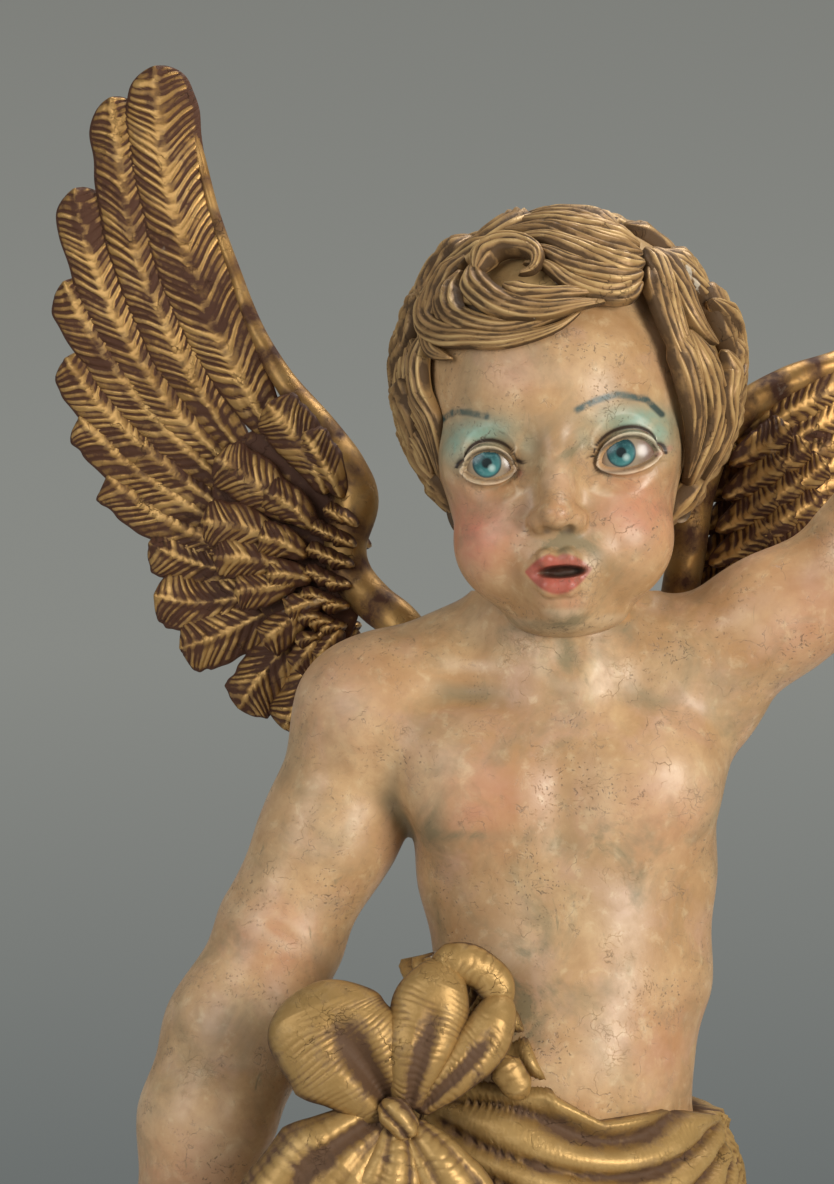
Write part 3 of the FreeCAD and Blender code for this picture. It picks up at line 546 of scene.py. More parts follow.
def leg_clay(clay, side, hip, knee, calf, ankle):
    """A chubby leg and its bare foot, turned out a little."""
    hip, knee, calf, ankle = (vec(*p) for p in (hip, knee, calf, ankle))
    clay.bone(hip, knee + vec(0, 0, 12), 21.0, 16.8, 6)
    clay.bone(hip + vec(0, 2, -22), knee + vec(0, 1, 26), 21.2, 18.0, 6)
    clay.ball(knee + vec(0, -1.5, 14), (16.4, 16.6, 8.5), 3)
    clay.ball(knee + vec(0, -2.5, 0), (14.6, 15.2, 9.5), 3.2)
    clay.ball(knee + vec(0, -11.5, 0.5), (6.6, 5.2, 6.4), 3.5)
    clay.bone(knee + vec(0, 0, -8), calf, 14.8, 15.2, 5)
    clay.ball(calf + vec(0, 3.0, 3), (13.4, 14.4, 18), 5)
    clay.bone(calf, ankle + vec(0, 0, 6), 14.4, 10.8, 5)
    clay.bone(ankle + vec(0, 0, 7), ankle - vec(0, 0, 3), 10.4, 9.6, 2.5)
    for knob in (-1, 1):
        clay.ball(ankle + vec(knob * 8.2, 0, -2), 2.8, 3)
    out = math.radians(14) * side
    ahead = vec(math.sin(out), -math.cos(out), 0)
    right = vec(math.cos(out), math.sin(out), 0)
    floor = vec(ankle[0], ankle[1], GROUND)
    clay.ball(floor + vec(0, 0, 7) - ahead * 4.5, (9.4, 9.2, 9.4), 4)
    clay.bone(floor + vec(0, 0, 9), floor + ahead * 20 + vec(0, 0, 5.6), 9.2, 6.4, 5)
    for half in (-1, 1):
        heel_end = floor + ahead * 8 + right * 3 * half + vec(0, 0, 6)
        clay.bone(heel_end, floor + ahead * 25 + right * 3.4 * half + vec(0, 0, 4.6), 6.5, 5.4, 4)
    for number in range(5):
        aside = (number - 1.9) * 4.2 * side
        size = (3.9, 3.1, 2.9, 2.7, 2.4)[number]
        reach = (34.5, 34.8, 33.2, 31.0, 28.0)[number]
        root = floor + ahead * (reach - 8.5) + right * aside * 0.92 + vec(0, 0, size + 1.0)
        tip = floor + ahead * (reach + 1.0) + right * aside + vec(0, 0, size - 0.2)
        clay.bone(root, tip, size, size * 1.02, 1.1)


def body_clay():
    """Torso, arms, hands and legs in the row frame."""
    clay = Clay(9)
    clay.ball((0.5, 0.5, 276), (33.5, 23.5, 22), 10)
    clay.ball((1.5, 0, 256), (32.4, 25, 24), 10)
    clay.ball((3.0, -1.5, 234), (29.8, 26.2, 22), 10)
    clay.ball((1.5, -6.5, 224), (23, 21.5, 19), 8)
    clay.ball((-3.2, -3, 212), (30.8, 28, 20), 10)
    clay.bone((-36, -2, 287), (-22, -9, 281), 12.0, 11.0, 10)
    clay.bone((30, 0, 291), (20, -8, 281), 11.0, 11.0, 10)
    clay.ball((-6.5, 0, 192), (38.5, 28, 22), 10)
    clay.ball((-25, 11, 184), (18.5, 18.5, 19), 6)
    clay.ball((12.5, 11, 186), (18.0, 18, 19), 6)
    clay.bone((-6, 31, 200), (-6, 33, 168), 2.0, 2.4, 6, press=True)
    clay.bone((1, 30.5, 284), (-1, 32.0, 214), 2.0, 2.2, 9, press=True)
    for side in (-1, 1):
        clay.ball((side * 15.0 + 0.5, -13.6, 274), (15.0, 9.0, 12.5), 11)
        clay.ball((side * 17, 18.0, 276), (12, 7.0, 14), 7)
        clay.bone((side * 10, 2, 307), (side * 33, 3, 297), 11.5, 11.5, 8)
        clay.bone((side * 4.5, -13.5, 299.5), (side * 30, -7.0, 300.5), 2.4, 2.2, 8)
    clay.bone((1, -1.5, 290), (1.0, -0.5, 318), 18.5, 17.2, 7)
    clay.ball((1, -15.0, 312), (12, 5.0, 2.2), 3)
    clay.ball((1, -21.5, 303), (2.4, 2.4, 3.0), 5, press=True)
    clay.bone((0.5, -27.8, 284), (0.5, -28.6, 264), 1.6, 1.6, 9, press=True)
    # hanging right arm
    clay.ball((-40.5, 1.5, 290.5), (15.8, 15.4, 15.6), 7)
    clay.bone((-41.5, 2, 289), (-50, 2, 264), 14.6, 13.6, 6)
    clay.bone((-50, 2, 264), (-59.5, 1.2, 245), 13.8, 13.6, 6)
    clay.bone((-61, 1, 240), (-69.5, 0, 221), 13.6, 14.8, 4)
    clay.bone((-69.5, 0, 221), (-76, -1.5, 203), 14.8, 13.8, 6)
    clay.bone((-76, -1.5, 203), (-81, -3.5, 183), 13.4, 10.2, 6)
    clay.bone((-81.2, -3.6, 181), (-82.6, -4.2, 175), 9.0, 8.0, 2)
    hand(clay, vec(-82.6, -4.2, 172), vec(-0.16, -0.12, -1), vec(1, 0.15, -0.2), 1,
         (0.25, 0.38, 0.48, 0.5), 0.2)
    # raised left arm
    clay.bone((24, 0, 298), (45, -3, 310.5), 14.6, 12.6, 7)
    clay.bone((45, -3, 310.5), (62, -7.5, 320.5), 12.6, 12.8, 6)
    clay.ball((65, -8.5, 324), (11.8, 11.6, 12.2), 5)
    clay.bone((66.5, -9, 328), (74.5, -12.5, 342), 11.6, 11.8, 4)
    clay.bone((74.5, -12.5, 342), (80.0, -16.5, 359), 11.6, 10.0, 6)
    clay.bone((80.0, -16.5, 359), (83.6, -18.8, 371), 9.8, 8.2, 4)
    clay.bone((83.8, -19, 372.5), (84.6, -19.5, 376), 7.4, 7.2, 1.6)
    hand(clay, vec(84.6, -19.5, 375), vec(0.24, -0.12, 1), vec(-0.15, -1, 0.05), -1,
         (0.12, 0.16, 0.26, 0.3), 0.1)
    leg_clay(clay, -1, (-25, 0, 172), (-23, -1.5, 104), (-22.5, 1.0, 77), (-21.5, 1, 43))
    leg_clay(clay, 1, (14, 0, 172), (21, -6.5, 104), (22, -3.0, 77), (22.5, -1, 43))
    # folds of the joints
    clay.bone((-66, -14.6, 249), (-51, -14.6, 238), 0.9, 0.9, 2.2, press=True)
    clay.bone((58, -21.5, 327), (66, -22.5, 318), 0.9, 0.9, 2.2, press=True)
    return clay


# where the castings meet: a point on each seam and the way the outer piece lies
RIGHT_SHOULDER = (vec(-33, 2, 291), vec(-1, 0, 0))
LEFT_SHOULDER = (vec(31, 0, 303), vec(1, 0, 0))
RIGHT_ELBOW = (vec(-58.5, 1, 243), vec(-20, -2, -46))
LEFT_ELBOW = (vec(65, -8, 323), vec(28.5, -9, 28))
LEFT_ARMPIT, RIGHT_ARMPIT = 284, 258
CASTINGS = ("torso", "right_upper_arm", "right_forearm", "left_upper_arm", "left_forearm", "right_leg",
            "left_leg")


def cut_near(bm, point, way, near):
    """Scores the mesh along a plane, only where the faces' centres pass the test."""
    geometry = set()
    for face in bm.faces:
        if near(face.calc_center_median()):
            geometry.add(face)
            geometry.update(face.edges)
            geometry.update(face.verts)
    bmesh.ops.bisect_plane(bm, geom=list(geometry), dist=1e-4, plane_co=tuple(point), plane_no=tuple(way))


def casting_of(c):
    """The casting that a face centre belongs to, None inside the head."""
    p = vec(*c)
    if p[2] > NECK_SEAM and abs(p[0]) < 24:
        return None
    if p[2] < HIP_SEAM and p[0] > -58:
        return "right_leg" if p[0] < LEG_GAP else "left_leg"
    if p[0] < -44 or (p[0] < -33 and p[2] > RIGHT_ARMPIT):
        beyond = (p - RIGHT_ELBOW[0]) @ RIGHT_ELBOW[1] > 0
        return "right_forearm" if beyond else "right_upper_arm"
    if p[0] > 31 and p[2] > LEFT_ARMPIT:
        beyond = (p - LEFT_ELBOW[0]) @ LEFT_ELBOW[1] > 0
        return "left_forearm" if beyond else "left_upper_arm"
    return "torso"


# strength, centre and half widths of the blush on the body, and the same for its dirt and painted shade
BODY_BLUSH = (
    (0.5, (-17, -22, 272), (11, 12, 9)), (0.3, (20, -20, 270), (10, 12, 10)),
    (0.35, (-45, -8, 292), (10,) * 3),
    (0.45, (-60, -10, 243), (9,) * 3), (0.4, (-80, -8, 190), (12,) * 3), (0.35, (52, -10, 312), (12,) * 3),
    (0.5, (66, -16, 324), (9,) * 3), (0.5, (88, -24, 385), (12,) * 3), (0.3, (26, -24, 222), (10,) * 3),
    (0.5, (-22, -16, 104), (12,) * 3), (0.5, (21, -20, 104), (12,) * 3), (0.5, (-18, -30, 36), (14,) * 3),
    (0.5, (24, -32, 36), (14,) * 3), (0.5, (-86, -8, 160), (14,) * 3), (0.35, (-24, 30, 184), (16,) * 3),
    (0.35, (12, 30, 184), (16,) * 3),
)
# painted shade in the creases, under the chin, between the arms and the torso and round the feet, with dirt
BODY_GRIME_AND_SHADE = (
    (0.4, (-30, -20, 260), (4, 10, 12)), (0.8, (-16, -26, 265), (12, 9, 1.3)),
    (1.1, (-22, -30, 238), (15, 14, 7)),
    (0.4, (-33, 0, 264), (4, 20, 7)), (0.6, (-8, -30, 228), (7, 14, 9)), (0.35, (8, -26, 262), (16, 10, 14)),
    (0.5, (-58.5, 1, 243), (14, 16, 2.5)), (0.35, (0, -20, 306), (24, 14, 4)),
    (0.4, (-28, -4, 228), (6, 24, 16)),
    (0.3, (4, -24, 252), (14, 8, 12)), (0.5, (32, 2, 284), (5, 14, 7)), (0.4, (0, 0, 33), (60, 60, 4)),
    (0.3, (31, -8, 213), (9, 18, 7)),
)
# darker round the hanging hand's wrist
WRIST_DARKENING = (0.35, (-62, -2, 180), (40, 20, 8))


def paint_body(mesh):
    """Stores where the flesh is blushed and where it is darkened by dirt and painted shade, as shares from 0
    to 1.
    """
    p = points_of(mesh)
    set_attribute(mesh, "blush", blobs(p, *BODY_BLUSH))
    set_attribute(mesh, "grime", blobs(p, *BODY_GRIME_AND_SHADE) + blobs(p, WRIST_DARKENING) * (p[:, 0] < -60))


def body_skins():
    """One modelled skin, parted along the seams of the castings."""
    clay = body_clay()

    def field(p):
        d = clay.field(p)
        return np.maximum(d, GROUND - p[:, 2])

    whole = sculpt("body", clay, 0.85, field)
    add_relief(whole.data, 14, 0.28)
    add_relief(whole.data, 90, 1.6, "hollow")
    paint_body(whole.data)
    bm = bmesh.new()
    bm.from_mesh(whole.data)
    cut_near(bm, (0, 0, HIP_SEAM), (0, 0, 1), lambda c: c.x > -58 and abs(c.z - HIP_SEAM) < 4)
    cut_near(bm, (LEG_GAP, 0, 0), (1, 0, 0), lambda c: c.z < HIP_SEAM + 3 and abs(c.x - LEG_GAP) < 4)
    cut_near(bm, (0, 0, NECK_SEAM), (0, 0, 1), lambda c: abs(c.x) < 24 and abs(c.z - NECK_SEAM) < 4)
    cut_near(bm, *RIGHT_SHOULDER, lambda c: c.z > RIGHT_ARMPIT - 3 and abs(c.x + 33) < 4)
    cut_near(bm, *LEFT_SHOULDER, lambda c: c.z > LEFT_ARMPIT - 3 and abs(c.x - 31) < 4)
    cut_near(bm, (0, 0, LEFT_ARMPIT), (0, 0, 1), lambda c: c.x > 28 and abs(c.z - LEFT_ARMPIT) < 4)
    cut_near(bm, *RIGHT_ELBOW, lambda c: c.x < -44 and abs(c.z - 243) < 16)
    cut_near(bm, *LEFT_ELBOW, lambda c: c.x > 44 and abs(c.z - 323) < 20)
    owners = [casting_of(face.calc_center_median()) for face in bm.faces]
    made = {}
    for name in CASTINGS:
        part = bm.copy()
        others = [face for face, owner in zip(part.faces, owners) if owner != name]
        bmesh.ops.delete(part, geom=others, context="FACES")
        made[name] = piece_from(part, name)
    bm.free()
    bpy.data.objects.remove(whole)
    return made


# ---------------------------------------------------------------- closed grid forms

@functools.cache
def template(along, around, ring=False):
    """A closed grid: share runs from end to end, or round a ring, and turn round it, both from 0 to 1."""
    bm = bmesh.new()
    bmesh.ops.create_grid(bm, x_segments=along, y_segments=around, size=0.5)
    share = bm.verts.layers.float.new("share")
    turn = bm.verts.layers.float.new("turn")
    for vert in bm.verts:
        s, t = vert.co.x + 0.5, vert.co.y + 0.5
        vert[share], vert[turn] = s, t
        out, angle, up = math.sin(math.pi * s), math.tau * t, -math.cos(math.pi * s)
        if ring:
            out, angle, up = 3 + math.cos(math.tau * t), math.tau * s, math.sin(math.tau * t)
        vert.co = (out * math.cos(angle), out * math.sin(angle), up)
    bmesh.ops.remove_doubles(bm, verts=bm.verts, dist=1e-6)
    bmesh.ops.recalc_face_normals(bm, faces=bm.faces)
    mesh = bpy.data.meshes.new("template")
    bm.to_mesh(mesh)
    bm.free()
    return mesh


def read_attribute(mesh, name):
    return rows_of(mesh.attributes[name].data, "value", 1)[:, 0].astype(float)


def add_form(whole, along, around, place, ring=False):
    """Adds one closed form; place turns the shares and turns into points and their relief."""
    mesh = template(along, around, ring).copy()
    points, relief = place(read_attribute(mesh, "share"), read_attribute(mesh, "turn"))
    set_points(mesh, points)
    set_attribute(mesh, "relief", np.clip(relief, -1, 1))
    whole.from_mesh(mesh)
    bpy.data.meshes.remove(mesh)


def close_forms(whole, name):
    bmesh.ops.recalc_face_normals(whole, faces=whole.faces)
    return piece_from(whole, name)


def spline(points, count=200):
    """Evenly spaced samples of a smooth path through the points, and its length."""
    p = np.array(points, dtype=float)
    p = np.vstack([2 * p[0] - p[1], p, 2 * p[-1] - p[-2]])
    t = np.linspace(0, len(p) - 3, count)
    i = np.minimum(t.astype(int), len(p) - 4)
    u = (t - i)[:, None]
    a, b, c, d = p[i], p[i + 1], p[i + 2], p[i + 3]
    q = b + 0.5 * ((c - a) * u + (2 * a - 5 * b + 4 * c - d) * u**2 + (3 * b - a - 3 * c + d) * u**3)
    far = np.concatenate([[0], np.cumsum(length_of(np.diff(q, axis=0)))])
    even = np.linspace(0, far[-1], count)
    return np.stack([np.interp(even, far, q[:, k]) for k in range(q.shape[1])], axis=1), far[-1]


def pick(rows, share):
    """Rows of a sampled path at shares of its length."""
    place = np.clip(share, 0, 1) * (len(rows) - 1)
    steps = np.arange(len(rows))
    if rows.ndim == 1:
        return np.interp(place, steps, rows)
    return np.stack([np.interp(place, steps, rows[:, k]) for k in range(rows.shape[1])], axis=1)


def unit(rows):
    return rows / np.maximum(length_of(rows), 1e-9)[:, None]


def ends(share, start=0.15, stop=0.2, start_power=0.6):
    """1 along the middle of a form, falling to 0 at both ends, round at the far end."""
    rise = np.clip(share / start, 0, 1) ** start_power
    fall = np.clip((share - (1 - stop)) / stop, 0, 1)
    return rise * np.sqrt(np.maximum(1 - fall**2, 0))


def lock(whole, path, ups, width, height, strands, detail, seed, tip=0.55):
    """A lock of carved hair: a tapering form along a path with strands cut along it."""
    ways = unit(np.gradient(path, axis=0))
    sides = unit(np.cross(ways, ups))
    lifts = unit(np.cross(sides, ways))

    def place(s, t):
        shape = ends(s, 0.16, 0.75, 0.7)
        shape = shape * (1 - tip * s**2)
        across, top = np.cos(math.tau * t), np.sin(math.tau * t)
        lines = across * strands + 0.6 * np.sin(s * 5 + seed) + seed
        groove = (0.5 + 0.5 * np.cos(math.tau * lines)) ** 1.1
        number = np.floor(lines)
        tone = 0.45 * np.sin(number * 5.13 + seed * 3) + 0.3 * np.sin(s * 23 + number * 2 + seed)
        fade = np.clip(1.25 * shape, 0, 1)
        high = height * shape * (1 - 0.36 * groove * fade * (top > 0))
        off = across * width * shape
        up = high * top - 0.35 * height * (top < 0)
        points = pick(path, s) + pick(sides, s) * off[:, None] + pick(lifts, s) * up[:, None]
        return points, (0.7 + tone - 1.9 * groove) * fade - 0.9 * (np.abs(across) > 0.9)

    add_form(whole, *detail, place)


# ---------------------------------------------------------------- wings

RIGHT_WING = (vec(-19, 27.3, 291), vec(-0.961, 0.276, 0), vec(-0.276, -0.961, 0))
LEFT_WING = (vec(19, 27.3, 291), vec(0.961, 0.276, 0), vec(0.276, -0.961, 0))


def on_wing(plane, flat, height):
    """Points of the row frame from places on the wing's plane and heights over it."""
    root, out, front = plane
    return root + flat[:, :1] * out + flat[:, 1:2] * vec(0, 0, 1) + np.asarray(height)[:, None] * front


def flat_path(points):
    """A smooth path on a wing's plane, the ways to its side, and its length."""
    path, length = spline(points)
    ways = unit(np.gradient(path, axis=0))
    return path, np.stack([-ways[:, 1], ways[:, 0]], axis=1), length


def feather(whole, plane, points, half, lift, around, barbs, turn, thick, tip, seed, fine=6):
    """A carved feather: a raised quill, slanting barbs cut on both faces and a round tip.
    The grid's rows lie along the barbs, so that each cut is clean."""
    path, sides, length = flat_path(points)
    count = max(int(length / barbs), 4)

    def place(s, t):
        uneven = 1 + 0.035 * np.sin(s * 19 + seed) + 0.02 * np.sin(s * 41 + 2 * seed)
        shape = ends(s, 0.24, tip, 0.55) * uneven
        across, top = np.cos(math.tau * t), np.sin(math.tau * t)
        x = across * half * shape
        slant = np.clip(s * 5, 0, 1) * np.clip((1 - s) / (tip + 0.12), 0, 1) ** 0.8
        far = s + slant * 1.25 * np.abs(x) ** 0.9 / length
        wander = 0.30 * np.sin(s * count * 0.71 + seed * 3 + np.sign(x) * 1.3)
        phase = s * count + (wander + 0.1 * np.sin(across * 7 + seed))
        number = np.floor(phase)
        groove = (0.5 + 0.5 * np.cos(math.tau * phase)) ** 3.2
        deep = 0.2 + 0.8 * np.abs(np.sin(number * 12.9898 + seed * 7 + np.sign(x) * 2.1))
        short = 0.55 + 0.45 * np.abs(np.sin(number * 7.233 + seed * 5 + np.sign(x)))
        quill = np.exp(-((x / 0.62) ** 2)) * (1 - 0.5 * s)
        beside = np.exp(-(((np.abs(x) - 1.25) / 0.45) ** 2)) * (1 - 0.5 * s)
        body = np.clip((np.abs(across) - 0.1) * 8, 0, 1) * np.clip((short - np.abs(across) + 0.35) * 4, 0, 1)
        cut = groove * deep * body * np.clip(s * 9, 0, 1)
        face = np.sign(top) * (0.75 * quill - 0.25 * beside - 0.5 * cut) * np.clip(np.abs(top) * 3, 0, 1)
        height = thick * top * shape ** 0.5 + face + 0.9 * (1 - across**2) + lift + turn * x
        flat = pick(path, far) + pick(sides, far) * x[:, None]
        worn = 0.3 * np.sin(number * 4.1 + seed + np.sign(x)) + 0.25 * np.sin(s * 11 + seed * 2 + across * 2)
        # painted shade along each feather's edges, where the feathers overlap, in the dark of the ground
        rim = np.clip(np.abs(across) * 8 - 6.9, 0, 1)
        relief = 0.5 + worn + 0.5 * quill - 0.9 * beside - 1.9 * cut - 1.6 * rim
        return on_wing(plane, flat, height), relief

    add_form(whole, count * fine, around, place)


def widths_along(radii):
    return np.interp(np.linspace(0, 1, 200), np.linspace(0, 1, len(radii)), radii)


def rolled_edge(whole, plane, points, radii):
    """The smooth round front edge of a wing."""
    path, sides, _length = flat_path(points)
    widths = widths_along(radii)

    def place(s, t):
        radius = pick(widths, s) * ends(s, 0.03, 0.03, 0.5)
        ripple = 1 + 0.05 * np.sin(s * 60 + 3 * np.cos(math.tau * t))
        flat = pick(path, s) + pick(sides, s) * (np.cos(math.tau * t) * radius)[:, None]
        return on_wing(plane, flat, np.sin(math.tau * t) * radius * ripple), 0.35 + 0.3 * np.sin(s * 90)

    add_form(whole, 150, 24, place)


PRIMARIES = (
    (((44, 58), (50, 68), (55.5, 78.2), (62.1, 91.9), (69.8, 115.9), (73.6, 144.6)), 8.6),
    (((50, 54), (57, 62), (64.3, 73.2), (72, 87.8), (78.7, 104.7), (84.3, 138)), 7.2),
    (((52, 50), (63, 60.5), (72.9, 71), (83, 87.1), (89, 101), (93.5, 117.6)), 6.8),
    (((54, 47), (67, 58), (77.7, 68.8), (88.6, 82.6), (96.5, 96.5)), 6.4),
    (((55, 42), (68, 51), (79, 60), (88, 68.5), (96.5, 79)), 6.4),
    (((56, 38), (70, 47), (82, 55), (93.5, 65.5)), 6.2),
    (((54, 33), (66, 38.5), (77, 44.5), (87, 52)), 6.4),
)
SECONDARIES = (
    (((46, 30), (56, 30), (66, 32), (77, 36.5)), 6.2),
    (((44, 27), (54, 24), (65.7, 22.8), (75.5, 24.5)), 6.6),
    (((41, 24), (50, 19.5), (60, 15), (69, 12.2)), 6.4),
    (((37, 21), (43, 13), (49, 6), (54.5, -1.5)), 6.4),
    (((31, 17), (35, 10), (39.5, 1), (43.5, -6)), 6.2),
)
COVERTS = (
    (((32, 47), (36, 56), (45.8, 67.7)), 6.0, 3.4), (((38, 41), (47, 48.5), (58.1, 55.5)), 6.0, 3.8),
    (((42, 36), (51, 39.5), (61.5, 41)), 5.4, 3.7), (((41, 31), (49, 32.5), (58.5, 33)), 4.6, 4.0),
    (((39, 27), (46, 26), (53.5, 25)), 4.2, 3.9), (((35, 22), (41, 18), (47, 13.5)), 4.2, 3.6),
    (((31, 18), (35, 13), (39.5, 7.5)), 3.8, 3.4), (((28, 46), (31, 52), (37, 61)), 4.4, 4.2),
    (((34, 39), (39, 44), (46, 48)), 4.2, 5.0), (((36, 33), (41, 36), (47.5, 37.5)), 4.0, 5.2),
    (((35, 28), (39.5, 29), (45.5, 29)), 3.7, 5.1), (((32, 23), (36, 22.5), (41, 20.5)), 3.5, 4.9),
    (((28, 17), (30.5, 14), (33.5, 10)), 3.2, 4.4),
)
LEADING = ((0, 0), (9, 9), (16, 18), (22, 22.7), (27.5, 29), (29, 36), (26.3, 45.5), (28.7, 52.5),
           (34.6, 61.5), (43.5, 73), (50, 84.2), (55.3, 97.8), (59.8, 110.4), (63.1, 122.9), (66.4, 135.5))
LEADING_RADII = (4.2, 4.4, 4.6, 4.6, 4.8, 5.0, 4.6, 3.6, 2.6, 2.0, 1.6, 1.4, 1.2, 1.1, 0.9)


def small_scales(whole, plane, spots, size, lift):
    """Little overlapping scales at the wing's arm, each pointing away from the root."""
    for number, (u, v, turn) in enumerate(spots):
        way = vec(math.cos(math.radians(turn)), math.sin(math.radians(turn)))
        start, end = vec(u, v) - way * size, vec(u, v) + way * size
        middle = (start + end) / 2 + vec(-way[1], way[0]) * 0.5
        feather(whole, plane, (start, middle, end), size * 0.66, lift, 16, 1.3, 0, 1.9, 0.45, number, 5)


def pad(whole, plane, points, radii, thick):
    """A flattened filling under the small feathers."""
    path, sides, _length = flat_path(points)
    widths = widths_along(radii)

    def place(s, t):
        radius = pick(widths, s) * ends(s, 0.15, 0.15, 0.5)
        flat = pick(path, s) + pick(sides, s) * (np.cos(math.tau * t) * radius)[:, None]
        dents = 0.3 * np.sin(flat[:, 0] * 1.9) * np.sin(flat[:, 1] * 1.7)
        height = np.sin(math.tau * t) * (thick + dents) * ends(s, 0.15, 0.15)
        return on_wing(plane, flat, height), -0.35 + dents * 2

    add_form(whole, 60, 40, place)


def right_wing():
    """Three pieces: the flight feathers, the feathers below them, and the arm with its coverts."""
    flight, lower, arm = bmesh.new(), bmesh.new(), bmesh.new()
    for number, (points, half) in enumerate(PRIMARIES):
        feather(flight if number < 4 else lower, RIGHT_WING, points, half, 0.4 - number * 0.85, 34, 2.05,
                -0.055, 1.5, 0.16, number * 1.7)
    for number, (points, half) in enumerate(SECONDARIES):
        rise = -4.6 + 0.75 * number
        feather(lower, RIGHT_WING, points, half, rise, 32, 2.1, -0.03, 1.5, 0.3, number * 2.1)
    pad(arm, RIGHT_WING, ((30, 12), (36, 24), (42, 36), (44.5, 49), (44, 63)), (7, 12, 15, 16, 10), 2.4)
    for side in (1, -1):
        for number, (points, half, lift) in enumerate(COVERTS):
            rise = lift * side - (2.6 if side < 0 else 0)
            feather(arm, RIGHT_WING, points, half, rise, 26, 1.75, 0.04 * side, 1.7, 0.34, number * 1.3)
        spots = []
        for row in range(6):
            for column in range(3):
                share = (row + 0.5 * (column % 2)) / 6
                u, v = 30.0 + column * 2.9 - 3.5 * share, 17 + share * 29 - column * 1.3
                spots.append((u, v, 50 * share - 12))
        small_scales(arm, RIGHT_WING, spots, 3.0, 4.7 if side > 0 else -6.6)
    rolled_edge(arm, RIGHT_WING, LEADING, LEADING_RADII)
    return [close_forms(flight, "right_flight_feathers"), close_forms(lower, "right_lower_feathers"),
            close_forms(arm, "right_wing_arm")]


LEFT_FEATHERS = (
    (((22, 58), (35, 66), (52, 74.5), (72, 85), (97.5, 101.5)), 6.6),
    (((24, 53), (38, 61), (56, 70), (78, 82), (99, 94)), 6.2),
    (((25, 48), (40, 56), (58, 66), (78, 76.5), (95, 86)), 6.0),
    (((25, 43), (40, 51), (56, 60), (72, 68.5), (87, 77.5)), 5.9),
    (((24, 38), (38, 45.5), (52, 53.5), (66, 61.5), (77.5, 69.5)), 5.8),
    (((23, 33), (36, 40), (49, 48.5), (60, 56), (67.5, 62)), 5.8),
    (((21, 29), (33, 35.5), (45, 43.5), (57.5, 53.5)), 5.6),
    (((19, 26), (30, 31.5), (40, 38.5), (48, 46)), 5.4),
    (((17, 23), (26, 28), (34, 33.5), (40.5, 40)), 5.2),
    (((14, 20), (21, 24), (28, 29), (32, 33)), 5.0),
    (((10, 16), (15, 19), (20.5, 23.5), (24.5, 27.5)), 4.6),
)
LEFT_LEADING = ((0, 0), (5, 9), (8, 20), (10.5, 33), (12.5, 46), (17, 58.5), (24, 66), (35, 72.5),
                (46, 76.5), (62, 83), (80, 91.5), (93, 99))
LEFT_LEADING_RADII = (4.2, 4.2, 4.2, 4.4, 4.4, 4.2, 3.6, 3.0, 2.5, 2.0, 1.6, 1.2)


def left_wing():
    feathers, arm = bmesh.new(), bmesh.new()
    for number, (points, half) in enumerate(LEFT_FEATHERS):
        rise = 0.6 - number * 0.6
        feather(feathers, LEFT_WING, points, half, rise, 30, 2.1, 0.05, 1.5, 0.16, number * 1.9)
    for side in (1, -1):
        for row in range(3):
            for column in range(6 - row):
                u, v = 17 + row * 6.5 + column * 1.6, 20 + column * 7.4 + row * 3.5
                way = ((u - 6, v - 3.5), (u + 1, v + 0.5), (u + 8, v + 5.5))
                rise = (4.6 - row * 1.0) * side - (2.4 if side < 0 else 0)
                feather(arm, LEFT_WING, way, 3.9, rise, 22, 1.75, 0.03 * side, 1.7, 0.34, column + row)
    rolled_edge(arm, LEFT_WING, LEFT_LEADING, LEFT_LEADING_RADII)
    return [close_forms(feathers, "left_feathers"), close_forms(arm, "left_wing_arm")]


# ---------------------------------------------------------------- hair

HAIR_CENTRE, HAIR_RADII = vec(1.5, 4, 362), vec(36, 38, 36.8)


def over_hair(x, z, lift=0.0):
    """The point of the hair's mass that shows at x and z from the front."""
    q = vec(x - HAIR_CENTRE[0], 0, z - HAIR_CENTRE[2]) / HAIR_RADII
    rest = 1 - q @ q
    if rest > 0:
        q[1] = -math.sqrt(rest)
    else:
        q /= math.sqrt(q @ q)
    return HAIR_CENTRE + q * (HAIR_RADII + lift)


def hair_up(points):
    return unit((points - HAIR_CENTRE) / HAIR_RADII**2)


